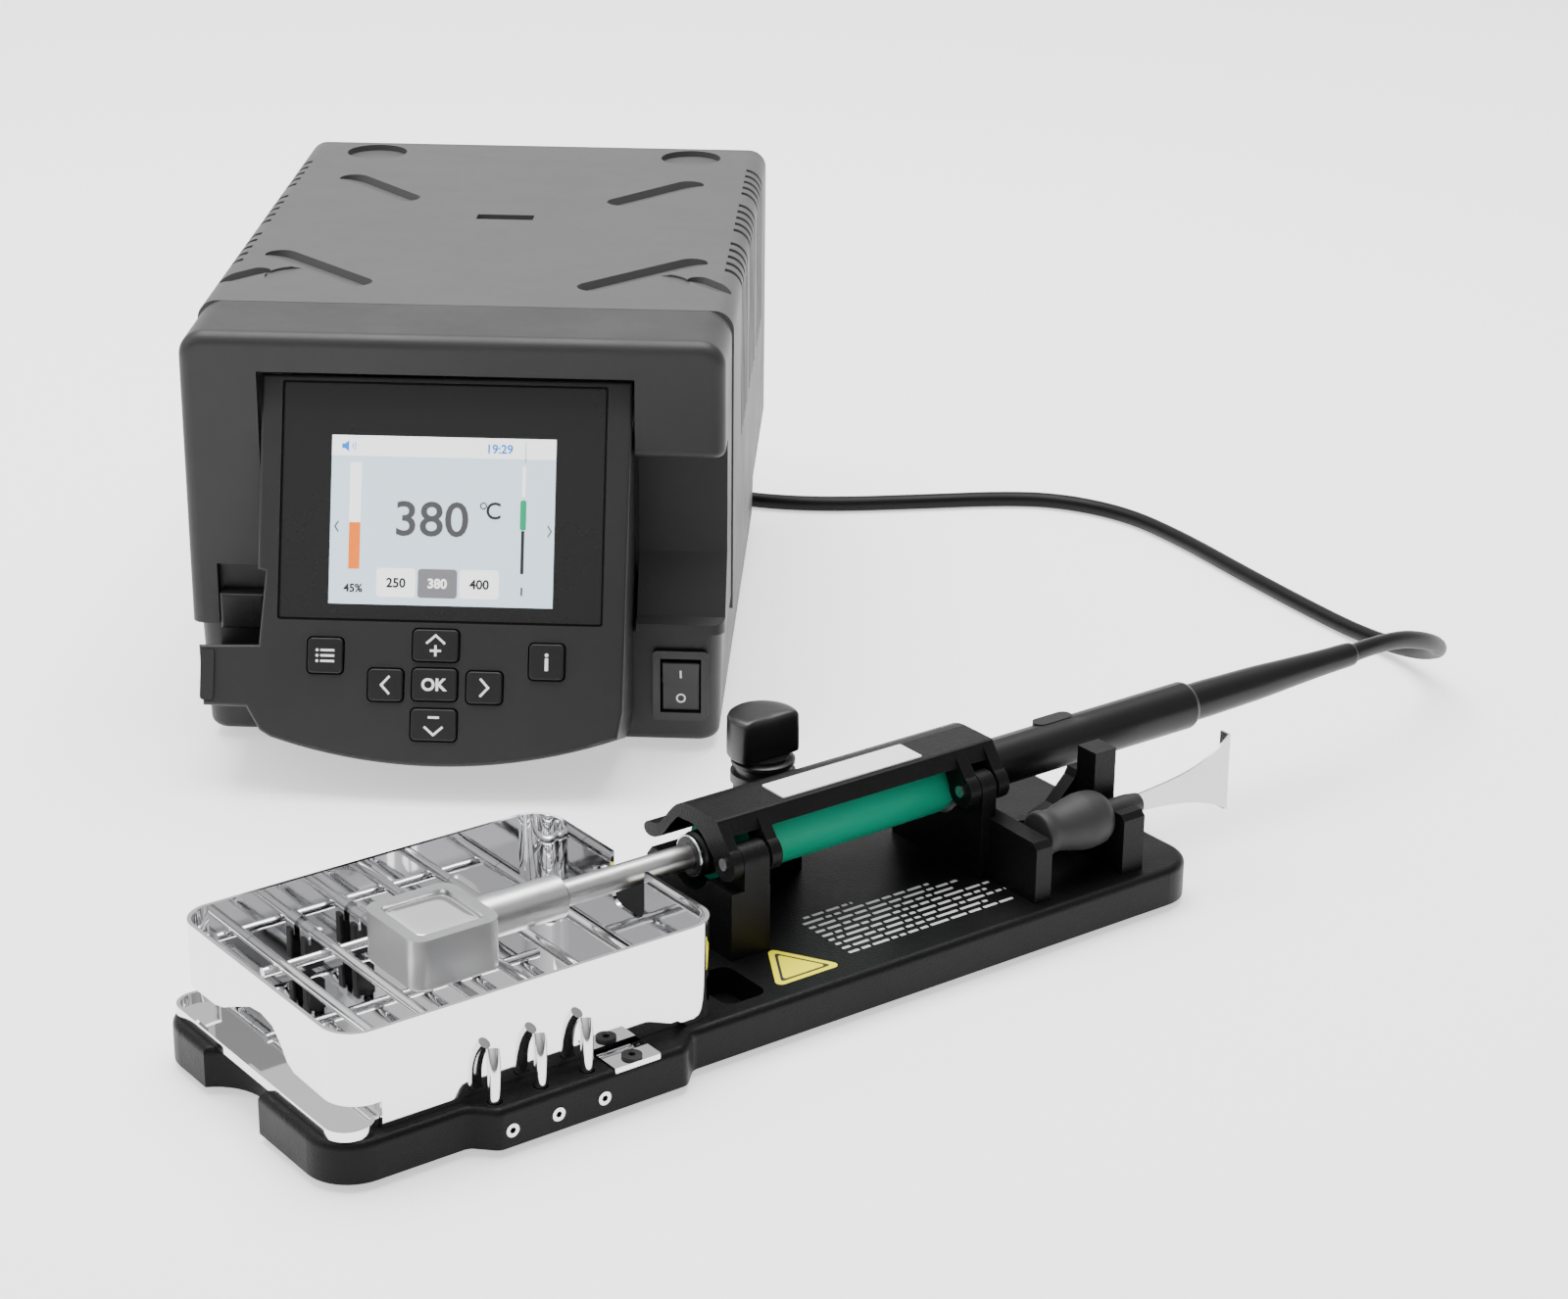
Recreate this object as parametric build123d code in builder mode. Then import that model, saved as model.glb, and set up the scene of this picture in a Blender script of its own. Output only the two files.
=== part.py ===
from build123d import *
import os
from math import cos, hypot, pi, radians, sin, tan

os.makedirs("parts", exist_ok=True)

# ---------------------------------------------------------------- driving dimensions (mm)
# Control unit: x to the right, y to the back, z up from the table.
UNIT_X, UNIT_Y = -86.77, 8.70       # centre of the hood's front face in the part's frame
UNIT_W = 148.0
UNIT_H = 120.0
CASE_D = 218.0                      # from the hood's face to the back of the cover
HOOD_D = 31.0                       # depth of the front hood
HOOD_Z = 37.0                       # lower edge of the hood
COVER_Z = 33.0                      # lower edge of the cover
TRAY_TOP = 32.5
TRAY_FRONT = 5.0
TRAY_BACK = 194.0                   # the cover overhangs the tray at the back
FOOT_H = 3.0
WALL = 3.0
COVER_WALL = 3.5
REAR_Y = 204.0                      # outer face of the rear panel
REAR_T = 2.5

# Console: a panel that leans back, measured on its own face from its top edge.
TILT = 22.0
CONSOLE_TOP_Y, CONSOLE_TOP_Z = 5.0, 109.0
CONSOLE_L, CONSOLE_R = -51.5, 48.5
CONSOLE_V0, CONSOLE_V1 = -1.3, -98.5
CHIN_V = -105.8
GLASS_W, GLASS_H = 86.4, 63.0
GLASS_X, GLASS_V = -1.9, -35.1
LCD_W, LCD_H = 60.4, 45.3
LCD_V = -40.0
KEY_GAP = 0.4
KEYS = {                            # name: (x, v, width, height)
    "menu": (-32.4, -76.7, 9.5, 9.5),
    "up": (-2.7, -73.3, 12.3, 8.5),
    "left": (-16.0, -84.2, 9.4, 8.6),
    "ok": (-2.8, -83.8, 12.1, 8.6),
    "right": (10.6, -84.3, 9.6, 8.6),
    "info": (27.2, -77.0, 9.4, 9.6),
    "down": (-2.8, -94.6, 12.3, 8.5),
}

# Power switch
SWITCH_X, SWITCH_Z = 61.2, 20.5
SWITCH_W, SWITCH_H = 15.4, 20.6
ROCKER_W, ROCKER_H = 10.5, 15.0

# Stand: s along its length, t away from its near side, z up.
STAND_X, STAND_Y = UNIT_X + 3.97, UNIT_Y - 239.87
STAND_TURN = 39.07
BASE_L, BASE_D = 252.0, 81.0
BASE_Z, BASE_T = 2.0, 10.0          # underside above the table, thickness
DECK = BASE_Z + BASE_T              # top of the casting
GUARD_S0, GUARD_S1 = 4.8, 104.7
GUARD_T0, GUARD_T1 = 3.2, 78.0
GUARD_TOP = 36.3
SHEET = 1.0                         # stainless sheet of guard and tray
HINGE_T, HINGE_Z = 26.8, 35.9       # pivot of the clamp lid
LID_S0, LID_S1 = 121.8, 206.0
LID_TOP = 46.0

# Handset: a body of revolution along the stand
AXIS_T, AXIS_Z = 40.5, 33.0
COLLAR_S, GRIP_S, BODY_S, BODY_END, RELIEF_END = 122.5, 126.5, 199.0, 282.0, 344.0
POT_S0, POT_S1, POT_W, POT_H = 38.6, 62.0, 24.0, 13.0

# Scraper
SCRAPER_T, SCRAPER_Z = 12.4, 26.0

# Tool cord
CORD_D = 5.0
CORD_R = CORD_D / 2
COIL_X, COIL_Y, COIL_R = 5.0, 262.0, 29.0
COIL_W, COIL_H = 10.6, 13.0
SOCKET_X, SOCKET_Z = 34.0, 64.0

# ---------------------------------------------------------------- frames
COS_T, SIN_T = cos(radians(TILT)), sin(radians(TILT))
U = (cos(radians(STAND_TURN)), sin(radians(STAND_TURN)), 0)
W = (-U[1], U[0], 0)


def unit_point(x, y, z):
    """A point of the control unit in the part's frame."""
    return (UNIT_X + x, UNIT_Y + y, z)


def stand_point(s, t, z):
    """A point of the stand in the part's frame."""
    return (STAND_X + s * U[0] + t * W[0], STAND_Y + s * U[1] + t * W[1], z)


def level(z):
    """Horizontal plane of the unit, local x right and y back."""
    return Plane(origin=unit_point(0, 0, z))


def front(y):
    """Upright plane of the unit facing forward, local x right and y up."""
    return Plane(origin=unit_point(0, y, 0), x_dir=(1, 0, 0), z_dir=(0, -1, 0))


def side(x):
    """Upright plane of the unit facing right, local x back and y up."""
    return Plane(origin=unit_point(x, 0, 0), x_dir=(0, 1, 0), z_dir=(1, 0, 0))


def console(h):
    """Console face raised by h, local x right and y up the panel."""
    o = unit_point(0, CONSOLE_TOP_Y - h * COS_T, CONSOLE_TOP_Z + h * SIN_T)
    return Plane(origin=o, x_dir=(1, 0, 0), z_dir=(0, -COS_T, SIN_T))


def deck(z):
    """Horizontal plane of the stand, local x = s and y = t."""
    return Plane(origin=stand_point(0, 0, z), x_dir=U, z_dir=(0, 0, 1))


def across(s):
    """Upright plane across the stand facing +s, local x = t and y = z."""
    return Plane(origin=stand_point(s, 0, 0), x_dir=W, z_dir=U)


def along(t):
    """Upright plane along the stand facing its near side, local x = s and y = z."""
    return Plane(origin=stand_point(0, t, 0), x_dir=U, z_dir=(-W[0], -W[1], 0))


def outline(points):
    """A closed straight-sided face in the open sketch."""
    Polygon(*points, align=None)


# ================================================================ control unit: shells
# Top cover: a U-shaped moulding with stacking recesses on top and slotted sides.
with BuildPart() as top_cover:
    with BuildSketch(front(CASE_D)):
        with Locations((0, (UNIT_H + COVER_Z) / 2)):
            Rectangle(UNIT_W, UNIT_H - COVER_Z)
    extrude(amount=CASE_D - HOOD_D - 0.3)
    fillet([e for e in top_cover.edges().filter_by(Axis.Y) if e.center().Z > UNIT_H - 1], 5.5)
    fillet([e for e in top_cover.faces().sort_by(Axis.Y)[-1].edges() if e.center().Z > COVER_Z + 1], 2.0)
    with BuildSketch(front(CASE_D + 1)):
        with Locations((0, (UNIT_H - COVER_WALL + COVER_Z - 1) / 2)):
            Rectangle(UNIT_W - 2 * COVER_WALL, UNIT_H - COVER_WALL - COVER_Z + 1)
    extrude(amount=CASE_D - HOOD_D + 3, mode=Mode.SUBTRACT)
    # round seats for the feet of a unit stacked on top
    with BuildSketch(level(UNIT_H)):
        with Locations((-50.5, 204), (50.5, 204)):
            Circle(9.5)
    extrude(amount=-1.8, mode=Mode.SUBTRACT)
    with BuildSketch(level(UNIT_H)):
        with Locations((-50.5, 58), (50.5, 58)):
            Circle(9.5)
    extrude(amount=-0.7, mode=Mode.SUBTRACT)
    with BuildSketch(level(UNIT_H)):
        with Locations((0, 126)):
            Rectangle(17, 5.5)
    extrude(amount=-2.2, mode=Mode.SUBTRACT)
    # guide pockets: deep along their far wall, running out to nothing at the near side
    for mirror_x in (-1, 1):
        for x0, y0, x1, y1, width in ((54, 171, 32, 145, 9), (61, 81, 32, 51, 9), (61, 63, 70, 52, 6)):
            far = -1 if x1 > x0 else 1
            run = hypot(x1 - x0, y1 - y0)
            direction = Vector((x1 - x0) / run * mirror_x, (y1 - y0) / run, 0)
            # the floor turns about the pocket's own long line
            away = Vector(-far * direction.Y * 1, far * direction.X, 0)
            away = away if away.Y > 0 else away * -1
            floor_normal = Vector(away.X * 0.24, away.Y * 0.24, 1).normalized()
            middle = unit_point((x0 + x1) / 2 * mirror_x, (y0 + y1) / 2, UNIT_H - 1.2)
            pocket = Plane(origin=middle, x_dir=direction, z_dir=floor_normal)
            with BuildSketch(pocket):
                SlotCenterToCenter(run - width / 2, width)
            extrude(amount=4, mode=Mode.SUBTRACT)
    # wrap-round ventilation slots, three groups of five on each side
    for first in (73.0, 117.0, 160.5):
        for k in range(5):
            y = first + 7.2 * k
            for sign in (-1, 1):
                with BuildSketch(front(y + 1.4)):
                    outline([(sign * p, q) for p, q in
                             ((69, 121), (69, 115), (70, 114), (70, 86), (74.6, 68), (76, 68), (76, 121))])
                extrude(amount=2.8, mode=Mode.SUBTRACT)
    # bosses for the rear panel's screws
    with BuildSketch(front(REAR_Y - REAR_T)):
        with Locations((-64, 44), (64, 44), (-64, 108), (64, 108)):
            Circle(4.2)
            Rectangle(13.2, 5)
    extrude(amount=14)
    with BuildSketch(front(REAR_Y - REAR_T)):
        with Locations((-64, 44), (64, 44), (-64, 108), (64, 108)):
            Circle(1.25)
    extrude(amount=10, mode=Mode.SUBTRACT)
    with BuildSketch(level(0)):
        with Locations((0, CASE_D / 2)):
            Rectangle(UNIT_W, CASE_D * 2)
    extrude(amount=UNIT_H, mode=Mode.INTERSECT)
top_cover.part.label = "top_cover"
export_step(top_cover.part, "parts/top_cover.step")

# Front hood: surrounds the console, steps back into a bay on the right.
BAY_X, BAY_Z = 49.2, 87.5
with BuildPart() as front_bezel:
    with BuildSketch(front(HOOD_D)):
        with Locations((0, (UNIT_H + HOOD_Z) / 2)):
            Rectangle(UNIT_W - 1, UNIT_H - HOOD_Z)
    extrude(amount=HOOD_D)
    fillet([e for e in front_bezel.edges().filter_by(Axis.Y) if e.center().Z > UNIT_H - 1], 7.0)
    fillet([e for e in front_bezel.faces().sort_by(Axis.Y)[0].edges() if e.center().Z > HOOD_Z + 1], 3.5)
    # the bay, with its sill sloping forward at the bottom
    with BuildSketch(side(BAY_X)):
        outline(((-1, BAY_Z), (12, BAY_Z), (12, 57), (3.5, 41), (-1, 39.5)))
    extrude(amount=40, mode=Mode.SUBTRACT)
    # inside
    with BuildSketch(side(-UNIT_W / 2 + 0.5 + WALL)):
        outline(((WALL, HOOD_Z - 1), (HOOD_D + 1, HOOD_Z - 1), (HOOD_D + 1, UNIT_H - WALL), (WALL, UNIT_H - WALL)))
    extrude(amount=UNIT_W / 2 - 0.5 - WALL + BAY_X - WALL, mode=Mode.SUBTRACT)
    with BuildSketch(side(BAY_X - WALL)):
        outline(((7.2, HOOD_Z - 1), (HOOD_D + 1, HOOD_Z - 1), (HOOD_D + 1, UNIT_H - WALL), (WALL, UNIT_H - WALL),
                 (WALL, BAY_Z + WALL), (15.2, BAY_Z + WALL), (15.2, 56.2), (7.2, 41)))
    extrude(amount=UNIT_W / 2 - 0.5 - BAY_X, mode=Mode.SUBTRACT)
    # opening for the console, and the latch window beside it
    with BuildSketch(front(-1)):
        outline(((CONSOLE_L - 0.8, HOOD_Z - 1), (CONSOLE_R + 0.7, HOOD_Z - 1), (CONSOLE_R + 0.7, 109.6),
                 (CONSOLE_L - 0.8, 109.6)))
    extrude(amount=-14, mode=Mode.SUBTRACT)
    with BuildSketch(front(-1)):
        with Locations((-58.9, 45.0)):
            Rectangle(13.4, 19.0)
    extrude(amount=-6, mode=Mode.SUBTRACT)
    bay_roof = [e for e in front_bezel.edges().filter_by(Axis.X)
                if abs(e.center().Z - BAY_Z) < 0.1 and e.center().Y < UNIT_Y + 1]
    fillet(bay_roof, 2.5)
front_bezel.part.label = "front_bezel"
export_step(front_bezel.part, "parts/front_bezel.step")

# Base tray: an open tub, set in from the cover at the back, higher behind the hood.
with BuildPart() as base_tray:
    with BuildSketch(level(FOOT_H)):
        with Locations((0, (TRAY_FRONT + TRAY_BACK) / 2)):
            Rectangle(UNIT_W - 5, TRAY_BACK - TRAY_FRONT)
    extrude(amount=36 - FOOT_H, taper=-1.6)
    fillet([e for e in base_tray.edges() if abs(e.center().X - UNIT_X) > 70 and abs(e.tangent_at(0.5).Z) > 0.9], 6.0)
    fillet([e for e in base_tray.edges() if e.center().Z < FOOT_H + 0.01], 2.5)
    with BuildSketch(level(FOOT_H + 2.5)):
        with Locations((0, (TRAY_FRONT + TRAY_BACK) / 2)):
            RectangleRounded(UNIT_W - 10.4, TRAY_BACK - TRAY_FRONT - 5.4, 4)
    extrude(amount=40, taper=-1.6, mode=Mode.SUBTRACT)
    # the rim drops where the cover comes down beside it
    with BuildSketch(level(TRAY_TOP)):
        with Locations((0, HOOD_D + 100)):
            Rectangle(UNIT_W + 10, 200)
    extrude(amount=10, mode=Mode.SUBTRACT)
    # aperture of the power switch
    with BuildSketch(front(-1)):
        with Locations((SWITCH_X, SWITCH_Z)):
            Rectangle(13.0, 18.4)
    extrude(amount=-12, mode=Mode.SUBTRACT)
    # bosses that carry the boards, the transformer and the cover's screws
    with BuildSketch(level(FOOT_H + 2.5)):
        with Locations((-60, 30), (60, 44), (-60, 184), (60, 184)):
            Circle(4.5)
    extrude(amount=18)
    with BuildSketch(level(FOOT_H + 2.5)):
        with Locations((-50, 42), (22, 42), (-50, 104), (22, 104)):
            Circle(3.0)
    extrude(amount=7)
    with BuildSketch(level(FOOT_H)):
        with Locations((-60, 30), (60, 44), (-60, 184), (60, 184)):
            Circle(1.7)
    extrude(amount=40, mode=Mode.SUBTRACT)
base_tray.part.label = "base_tray"
export_step(base_tray.part, "parts/base_tray.step")

# Rear panel: a steel plate inside the cover with cut-outs for inlet and sockets.
REAR_W, REAR_Z0, REAR_Z1 = UNIT_W - 2 * COVER_WALL - 0.4, TRAY_TOP + 0.5, UNIT_H - COVER_WALL - 0.2
EARTH_X, EARTH_Z = 57.0, 68.0
SOCKETS = ((SOCKET_X - 34, SOCKET_Z), (SOCKET_X, SOCKET_Z))
with BuildPart() as rear_panel:
    with BuildSketch(front(REAR_Y)):
        with Locations((0, (REAR_Z0 + REAR_Z1) / 2)):
            Rectangle(REAR_W, REAR_Z1 - REAR_Z0)
        with Locations((-42, 58)):
            Rectangle(27.2, 20.2, mode=Mode.SUBTRACT)
        with Locations((-42, 82)):
            Rectangle(27.2, 11.2, mode=Mode.SUBTRACT)
        with Locations(*SOCKETS):
            Circle(9.1, mode=Mode.SUBTRACT)
        with Locations((EARTH_X, EARTH_Z)):
            Circle(2.6, mode=Mode.SUBTRACT)
        with Locations((-64, 44), (64, 44), (-64, 108), (64, 108)):
            Circle(1.7, mode=Mode.SUBTRACT)
        with Locations((17, 100)):
            with GridLocations(6, 0, 12, 1):
                SlotOverall(14, 2.4, rotation=90, mode=Mode.SUBTRACT)
    extrude(amount=REAR_T)
rear_panel.part.label = "rear_panel"
export_step(rear_panel.part, "parts/rear_panel.step")

# ================================================================ control unit: console
KEY_TOP, KEY_BACK, FLANGE_BACK = 0.9, -3.6, -4.8
with BuildPart() as console_housing:
    with BuildSketch(console(0)):
        with BuildLine():
            rim = Polyline((46.6, -97.4), (47.9, -90.0), (CONSOLE_R, CONSOLE_V0), (CONSOLE_L, CONSOLE_V0),
                           (-51.3, -54.0), (-49.2, -54.6), (-50.6, -74.2), (-66.8, -74.6), (-65.2, -90.8),
                           (-53.6, -91.0), (-49.9, -97.2), (-47.0, -98.9))
            ThreePointArc(rim @ 1, (-1.0, CHIN_V), rim @ 0)
        make_face()
    extrude(amount=-60)
    # wedge section: upright back, underside just clear of the table
    with BuildSketch(side(-80)):
        outline(((-60, 8.6), (3.7, 8.6), (3.7, 38.5), (12, 38.5), (12, 112), (-60, 112)))
    extrude(amount=160, mode=Mode.INTERSECT)
    front_rim = console_housing.faces().filter_by(lambda f: f.normal_at().Z > 0.2 and f.normal_at().Y < -0.8)
    fillet(front_rim.sort_by(SortBy.AREA)[-1].edges(), 0.9)
    # raised rib down the left ear
    with BuildSketch(console(-1)):
        with Locations((-64.2, -82.6)):
            RectangleRounded(3.6, 13.6, 1.0)
    extrude(amount=1.7)
    # hollow from the back
    with BuildSketch(side(-46.5)):
        outline(((6.28, 104.2), (-28.2, 18.9), (2, 14), (20, 14), (20, 104.2)))
    extrude(amount=92, mode=Mode.SUBTRACT)
    with BuildSketch(console(-3)):
        with Locations((-2.8, -97.6)):
            Rectangle(16, 8)
    extrude(amount=-3.5, mode=Mode.SUBTRACT)
    # seat of the glass and window of the display module
    with BuildSketch(console(0)):
        with Locations((GLASS_X, GLASS_V)):
            RectangleRounded(GLASS_W + 1.3, GLASS_H + 1.3, 0.8)
    extrude(amount=-2.0, mode=Mode.SUBTRACT)
    with BuildSketch(console(0)):
        with Locations((GLASS_X, LCD_V)):
            Rectangle(67, 51)
    extrude(amount=-8, mode=Mode.SUBTRACT)
    # key openings
    for x, v, w, h in KEYS.values():
        with BuildSketch(console(1)):
            with Locations((x, v)):
                RectangleRounded(w + 2 * KEY_GAP, h + 2 * KEY_GAP, 1.6)
        extrude(amount=-7.5, mode=Mode.SUBTRACT)
console_housing.part.label = "console_housing"
export_step(console_housing.part, "parts/console_housing.step")

with BuildPart() as display_glass:
    with BuildSketch(console(-0.5)):
        with Locations((GLASS_X, GLASS_V)):
            RectangleRounded(GLASS_W, GLASS_H, 0.6)
    extrude(amount=-1.5)
display_glass.part.label = "display_glass"
export_step(display_glass.part, "parts/display_glass.step")

with BuildPart() as lcd_module:
    with BuildSketch(console(-2.0)):
        with Locations((GLASS_X, LCD_V)):
            RectangleRounded(66.4, 50.4, 0.8)
    extrude(amount=-4.2)
    with BuildSketch(console(-6.2)):
        with Locations((GLASS_X, LCD_V)):
            Rectangle(60, 44)
    extrude(amount=-1.6)
    with BuildSketch(console(-6.2)):
        with Locations((GLASS_X, LCD_V - 27.0)):
            Rectangle(24, 6)
    extrude(amount=-0.3)
lcd_module.part.label = "lcd_module"
export_step(lcd_module.part, "parts/lcd_module.step")

with BuildPart() as keypad_board:
    with BuildSketch(console(-6.3)):
        with Locations((-2.6, -82.2)):
            Rectangle(76, 23.4)
    extrude(amount=-1.6)
    with BuildSketch(console(-7.9)):
        with Locations((20, -82)):
            Rectangle(14, 5)
    extrude(amount=-5)
keypad_board.part.label = "keypad_board"
export_step(keypad_board.part, "parts/keypad_board.step")

for name, (x, v, w, h) in KEYS.items():
    with BuildPart() as key:
        with BuildSketch(console(KEY_TOP)):
            with Locations((x, v)):
                RectangleRounded(w, h, 1.3)
        extrude(amount=KEY_BACK - KEY_TOP)
        fillet(key.faces().sort_by(Axis((0, 0, 0), (0, -COS_T, SIN_T)))[-1].edges(), 0.45)
        with BuildSketch(console(KEY_BACK)):
            with Locations((x, v)):
                RectangleRounded(w + 1.4, h + 1.4, 1.4)
        extrude(amount=FLANGE_BACK - KEY_BACK)
    key.part.label = "key_" + name
    export_step(key.part, f"parts/key_{name}.step")

with BuildPart() as console_latch:
    with BuildSketch(front(-1.6)):
        with Locations((-58.9, 41.2)):
            Rectangle(12.2, 10.2)
    extrude(amount=-5.0)
    fillet(console_latch.faces().sort_by(Axis.Y)[0].edges(), 0.8)
    with BuildSketch(front(3.3)):
        with Locations((-59.6, 48.0)):
            Rectangle(15.0, 18.0)
    extrude(amount=-1.5)
console_latch.part.label = "console_latch"
export_step(console_latch.part, "parts/console_latch.step")

# ================================================================ control unit: power switch
FLANGE_Y = 4.1                      # back of the switch's frame, against the tray
ROCK_Y = 8.3
ROCK_TILT = 6.0
with BuildPart() as switch_housing:
    with BuildSketch(front(FLANGE_Y - 1.2)):
        with Locations((SWITCH_X, SWITCH_Z)):
            RectangleRounded(SWITCH_W, SWITCH_H, 1.2)
    extrude(amount=-1.2)
    with BuildSketch(front(FLANGE_Y)):
        with Locations((SWITCH_X, SWITCH_Z)):
            Rectangle(12.8, 18.2)
    extrude(amount=-17)
    with BuildSketch(front(FLANGE_Y - 3)):
        with Locations((SWITCH_X, SWITCH_Z)):
            Rectangle(11.3, 16.0)
    extrude(amount=-14, mode=Mode.SUBTRACT)
    with BuildSketch(side(SWITCH_X - 6.2)):
        with Locations((ROCK_Y, SWITCH_Z)):
            Circle(1.25)
    extrude(amount=12.4, mode=Mode.SUBTRACT)
    for dz in (-5, 0, 5):
        with BuildSketch(front(TRAY_FRONT + 16)):
            with Locations((SWITCH_X, SWITCH_Z + dz)):
                Rectangle(4.8, 0.8)
        extrude(amount=-8)
switch_housing.part.label = "switch_housing"
export_step(switch_housing.part, "parts/switch_housing.step")

rocker_plane = Plane(origin=unit_point(SWITCH_X - ROCKER_W / 2, ROCK_Y, SWITCH_Z),
                     x_dir=(0, cos(radians(ROCK_TILT)), sin(radians(ROCK_TILT))), z_dir=(1, 0, 0))
with BuildPart() as power_rocker:
    with BuildSketch(rocker_plane):
        outline(((-4.9, ROCKER_H / 2), (-4.0, 0), (-4.9, -ROCKER_H / 2), (-1.5, -ROCKER_H / 2), (3.5, -3.6),
                 (3.5, 3.6), (-1.5, ROCKER_H / 2)))
    extrude(amount=ROCKER_W)
    fillet(power_rocker.edges().filter_by(lambda e: e.center().Y < UNIT_Y + ROCK_Y - 3), 0.4)
    with BuildSketch(side(SWITCH_X - 6.1)):
        with Locations((ROCK_Y, SWITCH_Z)):
            Circle(1.2)
    extrude(amount=12.2)
power_rocker.part.label = "power_rocker"
export_step(power_rocker.part, "parts/power_rocker.step")

# ================================================================ control unit: inside
with BuildPart() as main_board:
    with BuildSketch(level(FOOT_H + 9.5)):
        with Locations((-14, 73)):
            Rectangle(84, 72)
        with Locations((-50, 42), (22, 42), (-50, 104), (22, 104)):
            Circle(1.6, mode=Mode.SUBTRACT)
    extrude(amount=1.6)
    board_top = FOOT_H + 11.1
    with BuildSketch(level(board_top)):
        with Locations((-38, 88), (-38, 74)):
            Circle(6)
    extrude(amount=22)
    with BuildSketch(level(board_top)):
        with Locations((-8, 78)):
            Rectangle(14, 14)
        with Locations((12, 96), (-14, 96)):
            Rectangle(16, 8)
        with Locations((10, 56), (-20, 52)):
            Rectangle(18, 6)
        with Locations((14, 76)):
            Rectangle(9, 12)
    extrude(amount=7)
main_board.part.label = "main_board"
export_step(main_board.part, "parts/main_board.step")

TOROID_X, TOROID_Y = 20.0, 148.0
with BuildPart() as toroid_transformer:
    with BuildSketch(level(FOOT_H + 3.0)):
        with Locations((TOROID_X, TOROID_Y)):
            Circle(36)
            Circle(11, mode=Mode.SUBTRACT)
    extrude(amount=34)
    fillet(toroid_transformer.edges(), 4.5)
toroid_transformer.part.label = "toroid_transformer"
export_step(toroid_transformer.part, "parts/toroid_transformer.step")

with BuildPart() as toroid_bolt:
    with BuildSketch(level(FOOT_H + 2.5)):
        with Locations((TOROID_X, TOROID_Y)):
            Circle(3)
    extrude(amount=40)
    with BuildSketch(level(FOOT_H + 37.0)):
        with Locations((TOROID_X, TOROID_Y)):
            Circle(17)
    extrude(amount=1.5)
    with BuildSketch(level(FOOT_H + 38.5)):
        with Locations((TOROID_X, TOROID_Y)):
            RegularPolygon(6, 6)
    extrude(amount=4.5)
toroid_bolt.part.label = "toroid_bolt"
export_step(toroid_bolt.part, "parts/toroid_bolt.step")

with BuildPart() as heat_sink:
    with BuildSketch(level(FOOT_H + 2.5)):
        with Locations((-45, 144)):
            Rectangle(32, 50)
    extrude(amount=4)
    with BuildSketch(level(FOOT_H + 6.5)):
        with Locations((-45, 144)):
            with GridLocations(5, 0, 7, 1):
                Rectangle(1.6, 50)
    extrude(amount=22)
heat_sink.part.label = "heat_sink"
export_step(heat_sink.part, "parts/heat_sink.step")

# ================================================================ control unit: back
with BuildPart() as mains_inlet:
    with BuildSketch(front(REAR_Y + 2.4)):
        with Locations((-42, 58)):
            RectangleRounded(31, 24, 2.5)
    extrude(amount=2.4)
    with BuildSketch(front(REAR_Y)):
        with Locations((-42, 58)):
            Rectangle(26.6, 19.6)
    extrude(amount=20)
    with BuildSketch(front(REAR_Y + 3)):
        outline([(-42 + p, 58 + q) for p, q in
                 ((-12, -8), (12, -8), (12, 4), (8, 8), (-8, 8), (-12, 4))])
    extrude(amount=18, mode=Mode.SUBTRACT)
    with BuildSketch(front(REAR_Y - 1)):
        with Locations((-42 - 7, 56), (-42 + 7, 56), (-42, 60)):
            Rectangle(2, 4)
    extrude(amount=18)
mains_inlet.part.label = "mains_inlet"
export_step(mains_inlet.part, "parts/mains_inlet.step")

with BuildPart() as fuse_drawer:
    with BuildSketch(front(REAR_Y + 1.8)):
        with Locations((-42, 82)):
            RectangleRounded(30, 13.6, 1.5)
    extrude(amount=1.7)
    with BuildSketch(front(REAR_Y + 0.1)):
        with Locations((-42, 82)):
            Rectangle(26.4, 10.4)
    extrude(amount=18)
    with BuildSketch(front(REAR_Y + 3.0)):
        with Locations((-42, 82)):
            Rectangle(12, 1.6)
    extrude(amount=2)
fuse_drawer.part.label = "fuse_drawer"
export_step(fuse_drawer.part, "parts/fuse_drawer.step")

PLUG_R = 6.75
PLUG_DEPTH = 10.0
with BuildPart() as tool_sockets:
    with BuildSketch(front(REAR_Y + 2.0)):
        with Locations(*SOCKETS):
            Circle(11)
    extrude(amount=2.0)
    with BuildSketch(front(REAR_Y)):
        with Locations(*SOCKETS):
            Circle(9)
    extrude(amount=15)
    with BuildSketch(front(REAR_Y + 2.0)):
        with Locations(*SOCKETS):
            Circle(6.8)
    extrude(amount=13, mode=Mode.SUBTRACT)
tool_sockets.part.label = "tool_sockets"
export_step(tool_sockets.part, "parts/tool_sockets.step")

with BuildPart() as earth_terminal:
    with BuildSketch(front(REAR_Y + 3.0)):
        with Locations((EARTH_X, EARTH_Z)):
            RegularPolygon(5, 6)
    extrude(amount=3.0)
    with BuildSketch(front(REAR_Y)):
        with Locations((EARTH_X, EARTH_Z)):
            Circle(2.5)
    extrude(amount=14)
    with BuildSketch(front(REAR_Y + 3.0)):
        with Locations((EARTH_X, EARTH_Z)):
            Circle(2.0)
    extrude(amount=12, mode=Mode.SUBTRACT)
earth_terminal.part.label = "earth_terminal"
export_step(earth_terminal.part, "parts/earth_terminal.step")

with BuildPart() as unit_feet:
    with BuildSketch(level(0)):
        with Locations((-58, 22), (58, 22), (-58, 176), (58, 176)):
            Circle(6.5)
    extrude(amount=FOOT_H, taper=-6)
unit_feet.part.label = "unit_feet"
export_step(unit_feet.part, "parts/unit_feet.step")

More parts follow.
